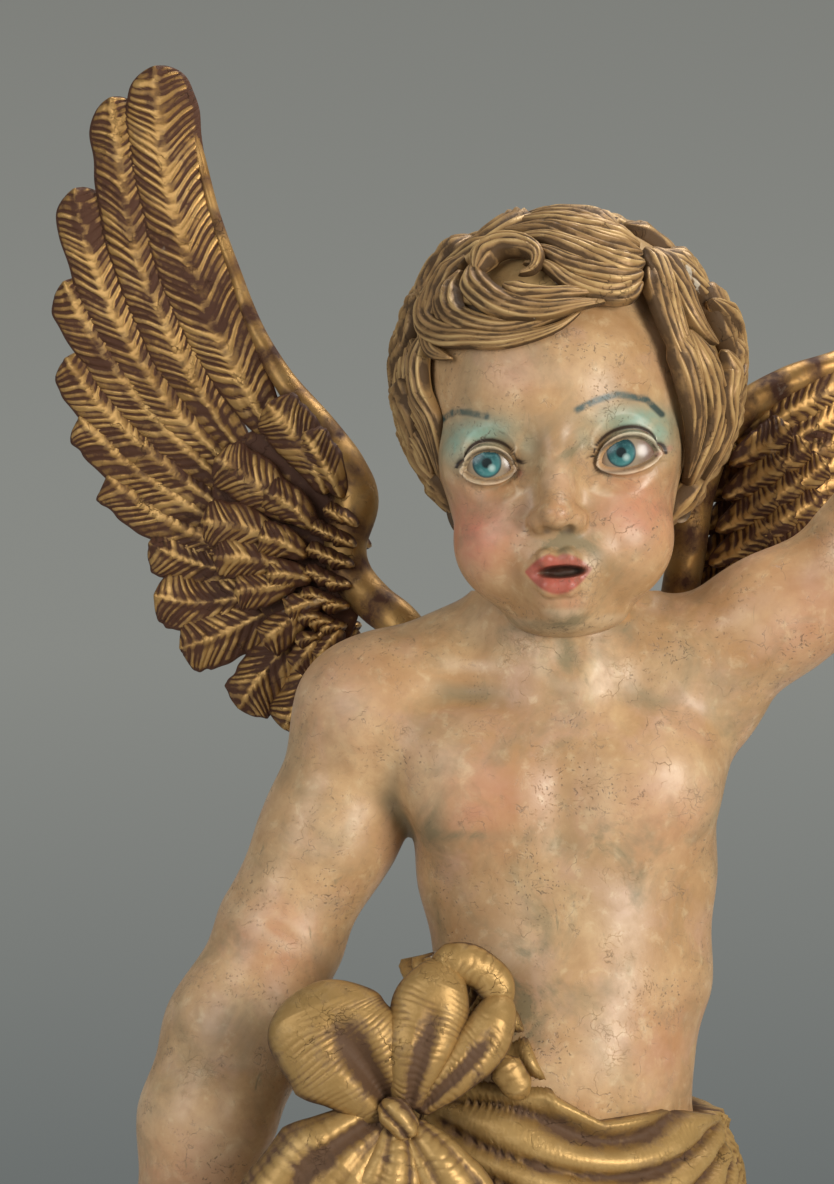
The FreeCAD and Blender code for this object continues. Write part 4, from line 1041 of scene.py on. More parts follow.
# width, height, strands, lift and the way of each lock that shows from the front
FRONT_LOCKS = (
    (4.4, 2.6, 2.2, -0.5, ((-13.4, 391.7), (-18.0, 390.0), (-22.8, 386.7), (-26.6, 382.7),
        (-29.1, 377.4), (-30.2, 371.2))),
    (4.6, 2.8, 2.3, -0.4, ((-15.4, 394.3), (-20.7, 392.7), (-25.1, 388.4), (-29.1, 383.1),
        (-31.6, 376.8), (-32.5, 370.5), (-31.2, 365.2))),
    (5.0, 3.0, 2.4, -0.6, ((-17.4, 396.6), (-22.7, 394.3), (-27.6, 389.6), (-31.9, 382.8),
        (-33.8, 376.4), (-34.4, 370.0), (-33.6, 363.6), (-31.4, 358.2))),
    (3.8, 2.4, 1.8, 0.4, ((-19.7, 387.8), (-24.3, 383.6), (-27.2, 377.9), (-28.5, 372.1),
        (-27.5, 367.3), (-23.5, 365.2))),
    (4.0, 2.2, 2.0, -0.6, ((-31.6, 375.6), (-33.3, 368.6), (-33.6, 362.2), (-31.9, 355.9),
        (-29.3, 350.6), (-27.2, 343.8), (-25.9, 338.7))),
    (3.4, 2.2, 1.7, 0.2, ((-29.3, 371.6), (-30.8, 365.3), (-30.2, 358.5), (-27.6, 352.6),
        (-26.4, 346.2), (-25.7, 340.3))),
    (3.6, 2.2, 1.8, 0.0, ((-32.7, 363.7), (-33.2, 357.3), (-31.4, 350.5), (-28.9, 345.5),
        (-26.3, 338.0))),
    (5.0, 2.6, 2.4, -1.6, ((10.5, 396.0), (7.7, 398.4), (-0.2, 399.5), (-7.7, 399.7), (-14.1, 399.0))),
    (4.6, 2.8, 2.2, -0.6, ((12.8, 394.0), (8.1, 395.9), (1.7, 397.4), (-4.6, 397.8), (-11.5, 397.4))),
    (3.6, 2.8, 2.0, 0.2, ((16.7, 389.3), (13.1, 390.5), (8.3, 392.2), (2.6, 394.1), (-3.1, 395.4),
        (-12.6, 395.2))),
    (3.4, 3.0, 1.9, 0.8, ((16.7, 387.0), (12.7, 387.3), (7.7, 388.7), (1.8, 391.0), (-3.9, 392.7),
        (-12.3, 392.7))),
    (3.2, 3.0, 1.8, 1.2, ((16.8, 384.9), (12.2, 384.1), (7.1, 385.3), (1.3, 387.9), (-4.0, 390.2),
        (-10.9, 390.4))),
    (3.0, 2.8, 1.7, 1.0, ((16.4, 382.9), (12.1, 381.2), (7.0, 382.0), (1.2, 384.3), (-4.0, 387.3),
        (-9.3, 388.1))),
    (2.8, 2.6, 1.6, 0.6, ((16.4, 380.9), (12.0, 378.6), (7.0, 378.8), (1.1, 380.9), (-4.1, 384.5),
        (-8.7, 385.1))),
    (3.4, 2.8, 1.9, -0.2, ((-21.4, 385.1), (-24.5, 380.3), (-24.1, 375.3), (-20.2, 372.6),
        (-13.5, 371.3), (-6.8, 372.2), (-0.9, 374.2), (3.9, 376.5))),
    (3.0, 2.6, 1.8, 0.6, ((-23.9, 383.8), (-27.7, 379.3), (-28.5, 373.4), (-25.0, 370.3),
        (-19.7, 369.4), (-13.5, 368.6), (-7.2, 369.4), (-1.4, 371.3), (3.4, 374.5))),
    (2.8, 2.6, 1.6, 1.2, ((-12.4, 380.2), (-8.9, 377.7), (-4.1, 377.1), (1.1, 377.9), (7.4, 378.6))),
    (3.4, 3.2, 1.9, 1.8, ((-18.0, 384.6), (-17.6, 379.8), (-14.1, 376.5), (-9.9, 374.8), (-4.1, 374.4),
        (2.2, 375.4), (8.4, 376.1))),
    (3.0, 3.0, 1.7, 2.2, ((-17.4, 382.0), (-15.4, 386.2), (-12.0, 388.1), (-8.0, 387.7), (-5.4, 385.6),
        (-6.2, 382.7), (-9.3, 381.6))),
    (3.8, 2.8, 2.0, 0.0, ((18.7, 389.5), (22.1, 385.7), (24.8, 380.9), (27.1, 375.6), (30.1, 371.4),
        (33.5, 368.9))),
    (3.2, 2.8, 1.8, 0.6, ((17.2, 388.8), (19.1, 385.4), (20.8, 380.6), (22.5, 375.4), (24.8, 370.1),
        (27.9, 365.3))),
    (3.0, 2.4, 1.7, 0.4, ((17.7, 385.4), (19.3, 380.6), (21.0, 375.4), (23.3, 369.1), (26.0, 362.3),
        (28.6, 356.9))),
    (4.4, 2.8, 2.2, -0.6, ((20.8, 389.2), (25.0, 386.6), (28.6, 383.2), (31.1, 380.3), (32.8, 376.9),
        (36.0, 374.3))),
    (3.6, 2.6, 1.9, 0.2, ((22.1, 371.4), (24.6, 366.8), (26.7, 359.8), (28.0, 352.9), (27.8, 346.5),
        (26.7, 340.2))),
    (4.2, 2.8, 2.1, -0.4, ((26.7, 371.8), (29.2, 366.5), (31.8, 360.8), (33.1, 354.8), (31.8, 348.4),
        (29.2, 342.1), (27.1, 334.7))),
    (2.6, 3.2, 1.5, 1.6, ((30.5, 377.9), (34.3, 374.7), (37.2, 371.7), (38.2, 367.5), (37.0, 363.2),
        (34.6, 361.5))),
    (3.2, 3.4, 1.7, 0.6, ((32.5, 381.0), (34.3, 377.8), (37.4, 374.1), (39.0, 369.8), (39.2, 366.0),
        (37.6, 360.8), (34.2, 358.3))),
    (3.6, 3.0, 1.9, 0.4, ((36.6, 366.0), (38.2, 359.9), (37.6, 354.6), (35.6, 350.4), (32.1, 346.1))),
    (3.4, 2.8, 1.8, 0.0, ((35.8, 357.3), (36.7, 351.9), (35.6, 347.0), (32.6, 342.3), (29.8, 337.6),
        (27.4, 332.3))),
    (3.2, 2.8, 1.8, 1.2, ((33.6, 367.7), (35.0, 363.4), (34.1, 358.1), (34.5, 352.8), (32.8, 346.8),
        (29.8, 340.4))),
)


def hair_cap():
    """The hair's mass under its locks: a thick shell, open at the face and ending at the nape."""
    bm = bmesh.new()
    place = Matrix.Translation(tuple(HAIR_CENTRE)) @ Matrix.Diagonal((*(HAIR_RADII - 2.2), 1))
    bmesh.ops.create_icosphere(bm, subdivisions=6, radius=1, matrix=place)
    gone = []
    for face in bm.faces:
        x, y, z = face.calc_center_median()
        q = to_head(vec(x, y, z))
        window = min(29.5 + q[0], 28.5 - q[0], float(np.interp(q[0], SCALP_X, SCALP_Z)) + 3.5 - q[2], -4 - y)
        jaw = 344 - z - (y + 4) * 0.9
        nape = 333 + 0.1 * (30 - y) - z
        if max(window, jaw, nape) > 0:
            gone.append(face)
    bmesh.ops.delete(bm, geom=gone, context="FACES")
    rim = [vert for vert in bm.verts if vert.is_boundary]
    for _ in range(6):
        bmesh.ops.smooth_vert(bm, verts=rim, factor=0.5, use_axis_x=True, use_axis_y=True, use_axis_z=True)
    cap = piece_from(bm, "hair_mass")
    shell = cap.modifiers.new("shell", "SOLIDIFY")
    shell.thickness = 4.0
    shell.offset = -1
    return apply_modifiers(cap)


def curl_path(azimuth, rise, heading, bend, long):
    """A curling way over the hair's mass from a place given by two angles."""
    a, e = math.radians(azimuth), math.radians(rise)
    at = HAIR_CENTRE + vec(math.sin(a) * math.cos(e), -math.cos(a) * math.cos(e), math.sin(e)) * HAIR_RADII
    points = [at]
    steps = 9
    for step in range(steps):
        up = hair_up(at[None])[0]
        down = vec(0, 0, -1) - up * -up[2]
        down /= max(math.sqrt(down @ down), 1e-6)
        aside = np.cross(up, down)
        angle = math.radians(heading + bend * (step / steps) ** 1.4)
        at = at + (down * math.cos(angle) + aside * math.sin(angle)) * long / steps
        q = (at - HAIR_CENTRE) / HAIR_RADII
        at = HAIR_CENTRE + q / math.sqrt(q @ q) * HAIR_RADII
        points.append(at)
    return points


def hair():
    front, back = bmesh.new(), bmesh.new()
    for number, (width, height, strands, lift, way) in enumerate(FRONT_LOCKS):
        path, length = spline([over_hair(x, z, lift) for x, z in way])
        detail = (max(int(length * 1.5), 24), 36)
        lock(front, path, hair_up(path), width, height, strands, detail, number * 1.9)
    for row, rise in enumerate((72, 52, 34, 16, -1, -17, -31)):
        count = max(int(17 * math.cos(math.radians(rise)) + 2), 5)
        for column in range(count):
            azimuth = 78 + (360 - 156) * (column + 0.5 * (row % 2)) / (count - 0.5) + rng.uniform(-4, 4)
            if rise > 60:
                azimuth = 360 * column / count + 40
            side = 1 if (row + column) % 2 else -1
            way = curl_path(azimuth, rise + rng.uniform(-4, 4), side * rng.uniform(15, 40),
                            -side * rng.uniform(70, 150), rng.uniform(19, 25))
            if rise > 60 and way[-1][1] < -14:
                continue
            path, length = spline(way)
            path = path + hair_up(path) * rng.uniform(-0.8, 0.8)
            lock(back, path, hair_up(path), rng.uniform(4.4, 5.6), rng.uniform(2.8, 3.6),
                 rng.uniform(1.9, 2.5), (34, 26), rng.uniform(0, 9), tip=0.4)
    cap = hair_cap()
    add_relief(cap.data, 10, 0.4)
    return [cap, close_forms(front, "front_locks"), close_forms(back, "back_curls")]


# ---------------------------------------------------------------- loincloth and bow

def ridge(phase, power=0.75):
    """Round ridges with narrow valleys between them, from 0 to 1."""
    return np.abs(np.cos(math.pi * phase)) ** power


def cloth_levels(z):
    """Centre x, half width and half depth of the cloth at each height."""
    levels = (140, 150, 175, 192, 208, 225, 242)
    middle = np.interp(z, levels, (-5.2, -5.2, -5.2, -5.2, -4.4, -0.4, 1.6))
    width = np.interp(z, levels, (48.5, 48.5, 47.0, 42.4, 34.6, 33.2, 32.2))
    depth = np.interp(z, levels, (37.0, 37.0, 36.0, 33.2, 31.8, 29.6, 28.6))
    return middle, width, depth


def loincloth():
    """Cloth wound round the hips, gathered in swags between the bow and the left hip."""
    whole = bmesh.new()
    add_form(whole, 460, 96, cloth_place, ring=True)
    return close_forms(whole, "loincloth_folds")


def cloth_place(share, turn):
    """Points and relief of the wound cloth: outer face, lips and inner face."""
    phi = share * 360 - 180
    top_at = (-180, -125, -95, -70, -53, -30, -17, -6, 3, 20, 48, 80, 110, 150, 180)
    top_z = (223, 233, 238, 240, 240, 237, 229, 219, 212, 206.5, 208, 205, 207, 216, 223)
    top = np.interp(phi, top_at, top_z)
    hem = 151.5 + 2.6 * np.sin(np.radians(phi * 7)) + 1.6 * np.sin(np.radians(phi * 13 + 40))
    outer = turn < 0.6
    down = np.where(outer, turn / 0.6, 1 - (turn - 0.6) / 0.4)
    z = top + (hem - top) * down
    middle, width, depth = cloth_levels(z)
    # swags between the knot at the right hip and the gather at the left hip, before and behind
    knot, gather = -46.0, 86.0
    ahead = (phi > knot) & (phi < gather)
    u = np.where(ahead, (phi - knot) / (gather - knot), ((phi - gather) % 360) / (360 - (gather - knot)))
    chord = np.where(ahead, 211 - 3 * u, 208 + 3 * u)
    sag = 0.16 + 0.84 * (4 * u * (1 - u)) ** 0.8
    spacing = np.where(ahead, 9.2, 11.5)
    phase = (chord - z) / (spacing * sag) + 0.25 * np.sin(u * 9) + 0.12 * np.sin(z * 0.4)
    fold = ridge(phase)
    strength = np.clip(u * 9, 0.25, 1) * np.clip((1 - u) * 7, 0.35, 1)
    lip = np.exp(-(((down - 0.035) / 0.035) ** 2))
    hem_roll = np.exp(-(((down - 0.985) / 0.02) ** 2))
    weave = 0.16 * np.sin(phi * 3.1 + z * 0.9) * np.sin(z * 1.7)
    out = 3.3 * (fold - 0.55) * strength + 1.3 * lip * (fold + 0.3) + 0.9 * hem_roll + weave
    gathered = np.exp(-((np.abs(phi - gather) / 13) ** 2)) * np.exp(-(((z - 198) / 13) ** 2))
    out += gathered * 3.2 * (0.6 + 0.4 * np.cos(np.radians(phi * 24)))
    inner = -4.2
    out = np.where(outer, out, inner)
    edge = np.clip(np.minimum(down, 1 - down) / 0.015, 0, 1)
    out = np.where(outer, inner + (out - inner) * edge ** 0.5, out)
    angle = np.radians(phi)
    x = middle + (width + out) * np.sin(angle)
    y = -(depth + out) * np.cos(angle)
    return np.stack([x, y, z], axis=1), np.where(outer, (fold - 0.45) * 1.9, -0.6)


def petal(whole, points, half, thick, groove, wrinkles, ridges, start, stop, seed):
    """A pillowy loop of the bow: a hollow runs up its middle and fine wrinkles cross it."""
    path, length = spline(points)
    ways = unit(np.gradient(path, axis=0))
    front = unit(np.cross(ways, np.cross(np.tile(vec(0, -1, 0.12), (len(ways), 1)), ways)))
    sides = unit(np.cross(ways, front))

    def place(s, t):
        shape = (0.34 + 0.66 * np.clip(s / start, 0, 1) ** 0.9) * ends(s, 0.05, stop, 0.5)
        shape = shape * (1 + 0.03 * np.sin(s * 17 + seed))
        across, top = np.cos(math.tau * t), np.sin(math.tau * t)
        face = np.clip(top, 0, 1)
        hollow = np.exp(-(((across - 0.12) / 0.24) ** 2)) * np.clip((0.75 - s) / 0.35, 0, 1)
        hollow = hollow * np.clip(s / 0.1, 0.3, 1)
        wavy = 1.3 * np.sin(across * 6 + s * 9 + seed)
        lines = np.sin(s * wrinkles * 1.5 * math.tau + 2.2 * across + seed + wavy)
        broken = np.clip(0.6 + 0.9 * np.sin(across * 4.3 + s * 13 + seed * 2) * np.sin(s * 21 + seed), 0, 1)
        wrinkle = (0.5 - 0.5 * lines) ** 2 * np.clip((0.86 - s) / 0.2, 0, 1) * broken
        long = (ridge(across * ridges + 0.2 + seed, 0.6) - 0.6) if ridges else 0.0
        up = thick * np.sign(top) * np.abs(top) ** 0.8 * np.clip(shape * 1.15, 0, 1)
        up = up + face * (-groove * hollow - 0.17 * wrinkle + 1.7 * long * shape)
        off = half * shape * across
        points = pick(path, s) + pick(sides, s) * off[:, None] + pick(front, s) * up[:, None]
        relief = 0.6 - 1.6 * hollow * (groove > 0.5) - 0.35 * wrinkle + (1.2 * long if ridges else 0)
        relief = relief - 0.8 * np.clip(np.abs(across) * 9 - 8, 0, 1) - 0.9 * np.clip(1 - s / 0.12, 0, 1)
        return points, relief

    add_form(whole, int(length * 5.5), 60, place)


# for each loop and end of the bow: its way, half width, thickness, hollow, wrinkles, long ridges,
# the shares over which it swells and rounds off, and its seed
PETALS = (
    (((-35.5, -38, 208.5), (-42, -40, 217), (-49, -38.5, 226), (-53, -36, 235)),
     13.2, 6.6, 4.2, 19, 0.0, 0.5, 0.38, 0.4),
    (((-33.0, -39, 209.5), (-31.2, -40.5, 219), (-28.2, -38, 230), (-24.5, -35, 240)),
     8.0, 6.0, 1.2, 17, 0.0, 0.5, 0.38, 2.1),
    (((-31.0, -38.5, 209), (-24, -39.5, 216), (-17, -37.5, 224), (-12.5, -34.5, 233)),
     5.6, 5.4, 1.0, 15, 0.0, 0.5, 0.38, 3.3),
    (((-28, -35, 238), (-22, -35.5, 239.6), (-16, -34.5, 236.6), (-12, -33.5, 230)),
     4.2, 3.8, 0, 8, 0.0, 0.2, 0.38, 1.0),
    (((-37, -38, 208), (-46, -40, 201), (-55, -39, 191), (-60, -36, 180)),
     12.0, 6.4, 1.5, 12, 1.6, 0.45, 0.3, 0.9),
    (((-35, -39, 207), (-36, -41, 198), (-38.5, -40, 187), (-40, -37, 176)),
     8.2, 6.0, 0, 12, 1.2, 0.45, 0.3, 2.0),
    (((-33, -39, 207), (-27, -40.5, 199), (-21, -39.5, 189), (-17, -36.5, 178)),
     7.6, 5.4, 0, 12, 1.1, 0.45, 0.3, 4.0),
    (((-38.0, -41.0, 211.5), (-34.4, -42.6, 208), (-32, -41.0, 204.5)), 3.4, 3.4, 0, 4, 0.9, 0.3, 0.5, 1.0),
    (((-14.5, -33.5, 220), (-11.5, -33.5, 216), (-8.5, -32.5, 211)), 3.6, 3.0, 0, 3, 0, 0.3, 0.5, 2.0),
)


def bow():
    whole = bmesh.new()
    for way, *sizes in PETALS:
        petal(whole, way, *sizes)
    return close_forms(whole, "bow_loops")


# ---------------------------------------------------------------- base and eyes

def turned(profile, steps, name):
    """Spins a profile of radii and heights round the upright axis."""
    bm = bmesh.new()
    rows = [bm.verts.new((radius, 0, z)) for radius, z in profile]
    edges = [bm.edges.new(pair) for pair in zip(rows, rows[1:])]
    bmesh.ops.spin(bm, geom=rows + edges, cent=(0, 0, 0), axis=(0, 0, 1), angle=math.tau, steps=steps,
                   use_merge=True)
    bmesh.ops.remove_doubles(bm, verts=bm.verts, dist=1e-4)
    bmesh.ops.recalc_face_normals(bm, faces=bm.faces)
    return piece_from(bm, name)


def arc(centre, radius, start, stop, steps=9):
    angles = np.radians(np.linspace(start, stop, steps))
    return [(centre[0] + radius * math.cos(a), centre[1] + radius * math.sin(a)) for a in angles]


def base():
    """A round moulded plinth: bead, cove and a flat rim round the ground under the feet."""
    profile = [(0.0, 1.6), (71.5, 1.6)]
    profile += arc((72.2, 4.2), 2.6, -80, 0, 6)
    profile += arc((72.2, 8.0), 2.6, 0, 80, 6)
    profile += [(69.6, 10.9), (68.6, 11.6)]
    cove = np.linspace(0.15, math.pi - 0.55, 14)
    profile += [(68.0 - 8.5 * math.sin(a), 20.4 - 8.2 * math.cos(a)) for a in cove]
    profile += [(63.6, 26.2), (64.8, 26.4)]
    profile += arc((66.2, 28.0), 1.9, -60, 75, 8)
    profile += [(64.0, 29.9), (61.5, 29.5), (58.0, 29.9), (30, 30.0), (0.0, 30.0)]
    return turned(profile, 160, "base_moulding")


def eyes():
    """Round eyeballs behind the lids."""
    whole = bmesh.new()
    for centre, *_ in EYES.values():
        matrix = Matrix.Translation(tuple(from_head(centre)[0]))
        bmesh.ops.create_uvsphere(whole, u_segments=72, v_segments=48, radius=EYE_RADIUS, matrix=matrix)
    return piece_from(whole, "eyeballs")


# ---------------------------------------------------------------- materials

def put(tree, kind, inputs=None, **settings):
    """Adds a node, sets it up and fills its inputs with values or other nodes' outputs."""
    node = tree.nodes.new(kind)
    for name, value in settings.items():
        setattr(node, name, value)
    for name, value in (inputs or {}).items():
        socket = node.inputs[name]
        if isinstance(value, bpy.types.NodeSocket):
            tree.links.new(value, socket)
        else:
            socket.default_value = value
    return node


def tree_of(*values):
    """The node tree that the first socket among the values is in."""
    return next(value.id_data for value in values if isinstance(value, bpy.types.NodeSocket))


def calc(operation, *values, clamp=False):
    inputs = dict(enumerate(values))
    return put(tree_of(*values), "ShaderNodeMath", inputs, operation=operation, use_clamp=clamp).outputs[0]


def times(first, second, clamp=False):
    return calc("MULTIPLY", first, second, clamp=clamp)


def plus(first, second, clamp=False):
    return calc("ADD", first, second, clamp=clamp)


def minus(first, second):
    return calc("SUBTRACT", first, second)


def most(first, second):
    return calc("MAXIMUM", first, second)


def spread_over(value, low, high, to_low=0.0, to_high=1.0):
    """Spreads the values between low and high over another range, and holds them there."""
    inputs = {0: value, 1: low, 2: high, 3: to_low, 4: to_high}
    return put(tree_of(value), "ShaderNodeMapRange", inputs, clamp=True).outputs[0]


def blended(share, first, second):
    """The first colour where the share is 0 and the second where it is 1."""
    inputs = {0: share}
    for index, colour in ((6, first), (7, second)):
        inputs[index] = colour if isinstance(colour, bpy.types.NodeSocket) else (*colour, 1)
    return put(tree_of(share), "ShaderNodeMix", inputs, data_type="RGBA").outputs[2]


def noise(place, scale, detail=4.0, rough=0.55, distort=0.0):
    inputs = {"Vector": place, "Scale": scale, "Detail": detail, "Roughness": rough, "Distortion": distort}
    return put(tree_of(place), "ShaderNodeTexNoise", inputs).outputs["Fac"]


def scaled(place, by):
    return put(tree_of(place), "ShaderNodeVectorMath", {0: place, 1: by}, operation="MULTIPLY").outputs[0]


def attribute(tree, name):
    return put(tree, "ShaderNodeAttribute", attribute_name=name).outputs["Fac"]


def new_group(name, inputs, outputs):
    """An empty node group; inputs and outputs give the labels for each kind of socket."""
    tree = bpy.data.node_groups.new(name, "ShaderNodeTree")
    for side, sockets in (("INPUT", inputs), ("OUTPUT", outputs)):
        for kind, labels in sockets.items():
            for label in labels.split():
                tree.interface.new_socket(label, in_out=side, socket_type="NodeSocket" + kind)
    return tree, tree.nodes.new("NodeGroupInput").outputs, tree.nodes.new("NodeGroupOutput").inputs


def age_group():
    """Masks of age on old paint: fine cracks, pits, stains and flaked chips."""
    tree, given, out = new_group("old paint masks", {"Vector": "Place"},
                                 {"Float": "Cracks Pits Stains Chips Brush"})
    place = given["Place"]
    warp = put(tree, "ShaderNodeTexNoise", {"Vector": place, "Scale": 180.0, "Detail": 5.0}).outputs["Color"]
    warped = put(tree, "ShaderNodeVectorMath", {0: warp, 1: (0.014, 0.014, 0.008), 2: place},
                 operation="MULTIPLY_ADD").outputs[0]
    cells = put(tree, "ShaderNodeTexVoronoi", {"Vector": warped, "Scale": 120.0},
                feature="DISTANCE_TO_EDGE").outputs["Distance"]
    lines = spread_over(cells, 0.0, 0.016, 1.0, 0.0)
    small = put(tree, "ShaderNodeTexVoronoi", {"Vector": warped, "Scale": 420.0},
                feature="DISTANCE_TO_EDGE").outputs["Distance"]
    fine_lines = spread_over(small, 0.0, 0.045, 0.8, 0.0)
    where = spread_over(noise(place, 150.0, 4.0), 0.52, 0.66)
    where_fine = spread_over(noise(place, 90.0, 5.0), 0.56, 0.70)
    cracks = most(times(lines, where), times(fine_lines, where_fine))
    tree.links.new(cracks, out["Cracks"])
    specks = put(tree, "ShaderNodeTexVoronoi", {"Vector": warped, "Scale": 760.0}).outputs["Distance"]
    dots = spread_over(specks, 0.14, 0.3, 1.0, 0.0)
    pit_where = spread_over(noise(place, 70.0, 5.0), 0.46, 0.66)
    tree.links.new(times(dots, pit_where, clamp=True), out["Pits"])
    stains = spread_over(noise(place, 62.0, 9.0, 0.68, 0.6), 0.47, 0.74)
    tree.links.new(stains, out["Stains"])
    flakes = plus(noise(place, 48.0, 6.0, 0.6, 0.4), times(noise(place, 420.0, 3.0), 0.16))
    tree.links.new(spread_over(flakes, 0.765, 0.785), out["Chips"])
    tree.links.new(noise(place, 260.0, 7.0, 0.62, 0.3), out["Brush"])
    return tree


AGE = age_group()
# metres of height that a bump of 1 stands for
BUMP_DEPTH = 0.0003


def start_material(name):
    """A material with the place on the piece and the masks of age ready to use."""
    material = bpy.data.materials.new(name)
    material.use_nodes = True
    tree = material.node_tree
    tree.nodes.clear()
    place = put(tree, "ShaderNodeTexCoord").outputs["Object"]
    age = put(tree, "ShaderNodeGroup", node_tree=AGE)
    tree.links.new(place, age.inputs["Place"])
    return material, tree, place, age.outputs


def close_material(tree, colour, rough, height, metal=0.0, strength=0.5, coat=0.0, specular=0.5):
    bump = put(tree, "ShaderNodeBump", {"Strength": strength, "Distance": BUMP_DEPTH, "Height": height})
    shader = put(tree, "ShaderNodeBsdfPrincipled", {
        "Base Color": colour, "Roughness": rough, "Metallic": metal, "Normal": bump.outputs[0],
        "Coat Weight": coat, "Coat Roughness": 0.25, "Specular IOR Level": specular})
    output = put(tree, "ShaderNodeOutputMaterial")
    tree.links.new(shader.outputs[0], output.inputs[0])


FLESH_MASKS = "Relief Hollow Blush Grime Lips Lash Brow Shade Scalp"
FLESH_NOISES = "Cracks Pits Stains Brush Patches Wash Streaks"
FLESH_DEEP, FLESH_LIGHT = (0.39, 0.213, 0.088), (0.53, 0.338, 0.167)
ROSY_WASH, OCHRE, PALE_STROKES = (0.48, 0.28, 0.175), (0.36, 0.20, 0.085), (0.62, 0.455, 0.26)
ROUGE, LID_TEAL, BROW_PAINT = (0.54, 0.175, 0.105), (0.215, 0.36, 0.275), (0.05, 0.075, 0.065)
LIP_DARK, LIP_LIGHT, RUBBED = (0.33, 0.06, 0.035), (0.42, 0.11, 0.07), (0.74, 0.60, 0.42)
# the first of these is the tone of dirt and of painted shade in the low parts
DIRT_AND_SHADE, PIT_DARK, CRACK_DARK = (0.17, 0.145, 0.075), (0.10, 0.07, 0.04), (0.11, 0.085, 0.05)
# the first of these is near black, for the painted lid lines and for painted shade in the mouth and nostrils
LASH_AND_SHADE_PAINT, SCALP_BROWN = (0.035, 0.02, 0.012), (0.075, 0.045, 0.022)


def flesh_group():
    """Colour of the painted flesh from its masks."""
    tree, given, out = new_group("painted flesh", {"Float": FLESH_MASKS + " " + FLESH_NOISES},
                                 {"Color": "Color", "Float": "Rough Height"})
    relief, brush, stains = given["Relief"], given["Brush"], given["Stains"]
    # layered flesh tones, laid on with a brush
    colour = blended(spread_over(given["Patches"], 0.36, 0.64), FLESH_DEEP, FLESH_LIGHT)
    colour = blended(times(spread_over(given["Wash"], 0.5, 0.7), 0.6), colour, ROSY_WASH)
    colour = blended(times(spread_over(brush, 0.48, 0.7), 0.6), colour, OCHRE)
    colour = blended(times(spread_over(brush, 0.44, 0.3), 0.5), colour, PALE_STROKES)
    # blush, eye paint and lips
    blush = times(given["Blush"], spread_over(brush, 0.2, 0.6, 0.55, 1.0), clamp=True)
    colour = blended(times(blush, 0.82), colour, ROUGE)
    shade = times(given["Shade"], spread_over(brush, 0.25, 0.65, 0.5, 0.95), clamp=True)
    colour = blended(times(shade, 0.95), colour, LID_TEAL)
    brow = times(given["Brow"], spread_over(brush, 0.40, 0.52, 0.45, 1.0), clamp=True)
    colour = blended(brow, colour, BROW_PAINT)
    lips = times(given["Lips"], spread_over(brush, 0.15, 0.5, 0.75, 1.0), clamp=True)
    colour = blended(lips, colour, blended(spread_over(brush, 0.35, 0.65), LIP_DARK, LIP_LIGHT))
    # paint rubbed pale on the high parts; dirt and painted shade in the low ones and in the hollows
    pale = times(spread_over(relief, 0.25, 1.0), 0.45)
    colour = blended(times(pale, minus(1.0, lips)), colour, RUBBED)
    dirt_and_shade = most(spread_over(relief, -0.15, -1.0, 0.0, 0.75),
                 spread_over(given["Hollow"], -0.25, -1.0, 0.0, 0.4))
    dirt_and_shade = plus(plus(dirt_and_shade, times(stains, 0.72)), times(given["Streaks"], 0.85))
    dirt_and_shade = plus(dirt_and_shade, times(given["Grime"], plus(0.4, times(stains, 1.8))), clamp=True)
    for share, ink in ((times(dirt_and_shade, 0.78), DIRT_AND_SHADE), (times(given["Pits"], 0.7), PIT_DARK),
                       (times(given["Cracks"], 0.62), CRACK_DARK),
                       (times(given["Lash"], 0.92, clamp=True), LASH_AND_SHADE_PAINT), (given["Scalp"], SCALP_BROWN)):
        colour = blended(share, colour, ink)
    tree.links.new(colour, out["Color"])
    rough = plus(plus(0.36, times(dirt_and_shade, 0.25)), times(spread_over(brush, 0.3, 0.7), 0.12))
    tree.links.new(rough, out["Rough"])
    height = minus(minus(times(brush, 0.55), times(given["Cracks"], 0.8)), times(given["Pits"], 0.7))
    tree.links.new(height, out["Height"])
    return tree


def flesh_material():
    material, tree, place, age = start_material("painted flesh")
    mixed = put(tree, "ShaderNodeGroup", node_tree=flesh_group())
    for name in FLESH_MASKS.split():
        tree.links.new(attribute(tree, name.lower()), mixed.inputs[name])
    for name in ("Cracks", "Pits", "Stains", "Brush"):
        tree.links.new(age[name], mixed.inputs[name])
    tree.links.new(noise(place, 42.0, 6.0, 0.62, 0.6), mixed.inputs["Patches"])
    tree.links.new(noise(place, 75.0, 4.0, 0.6, 0.4), mixed.inputs["Wash"])
    streaks = spread_over(noise(scaled(place, (1.0, 1.0, 0.3)), 330.0, 5.0, 0.6, 0.8), 0.62, 0.74)
    patchy = spread_over(noise(place, 52.0, 4.0), 0.5, 0.62)
    tree.links.new(times(streaks, patchy), mixed.inputs["Streaks"])
    close_material(tree, mixed.outputs["Color"], mixed.outputs["Rough"], mixed.outputs["Height"], coat=0.12)
    return material


BURNISHED, GOLD_CRACK, GESSO_WHITE = (0.68, 0.46, 0.20), (0.03, 0.018, 0.01), (0.62, 0.55, 0.43)


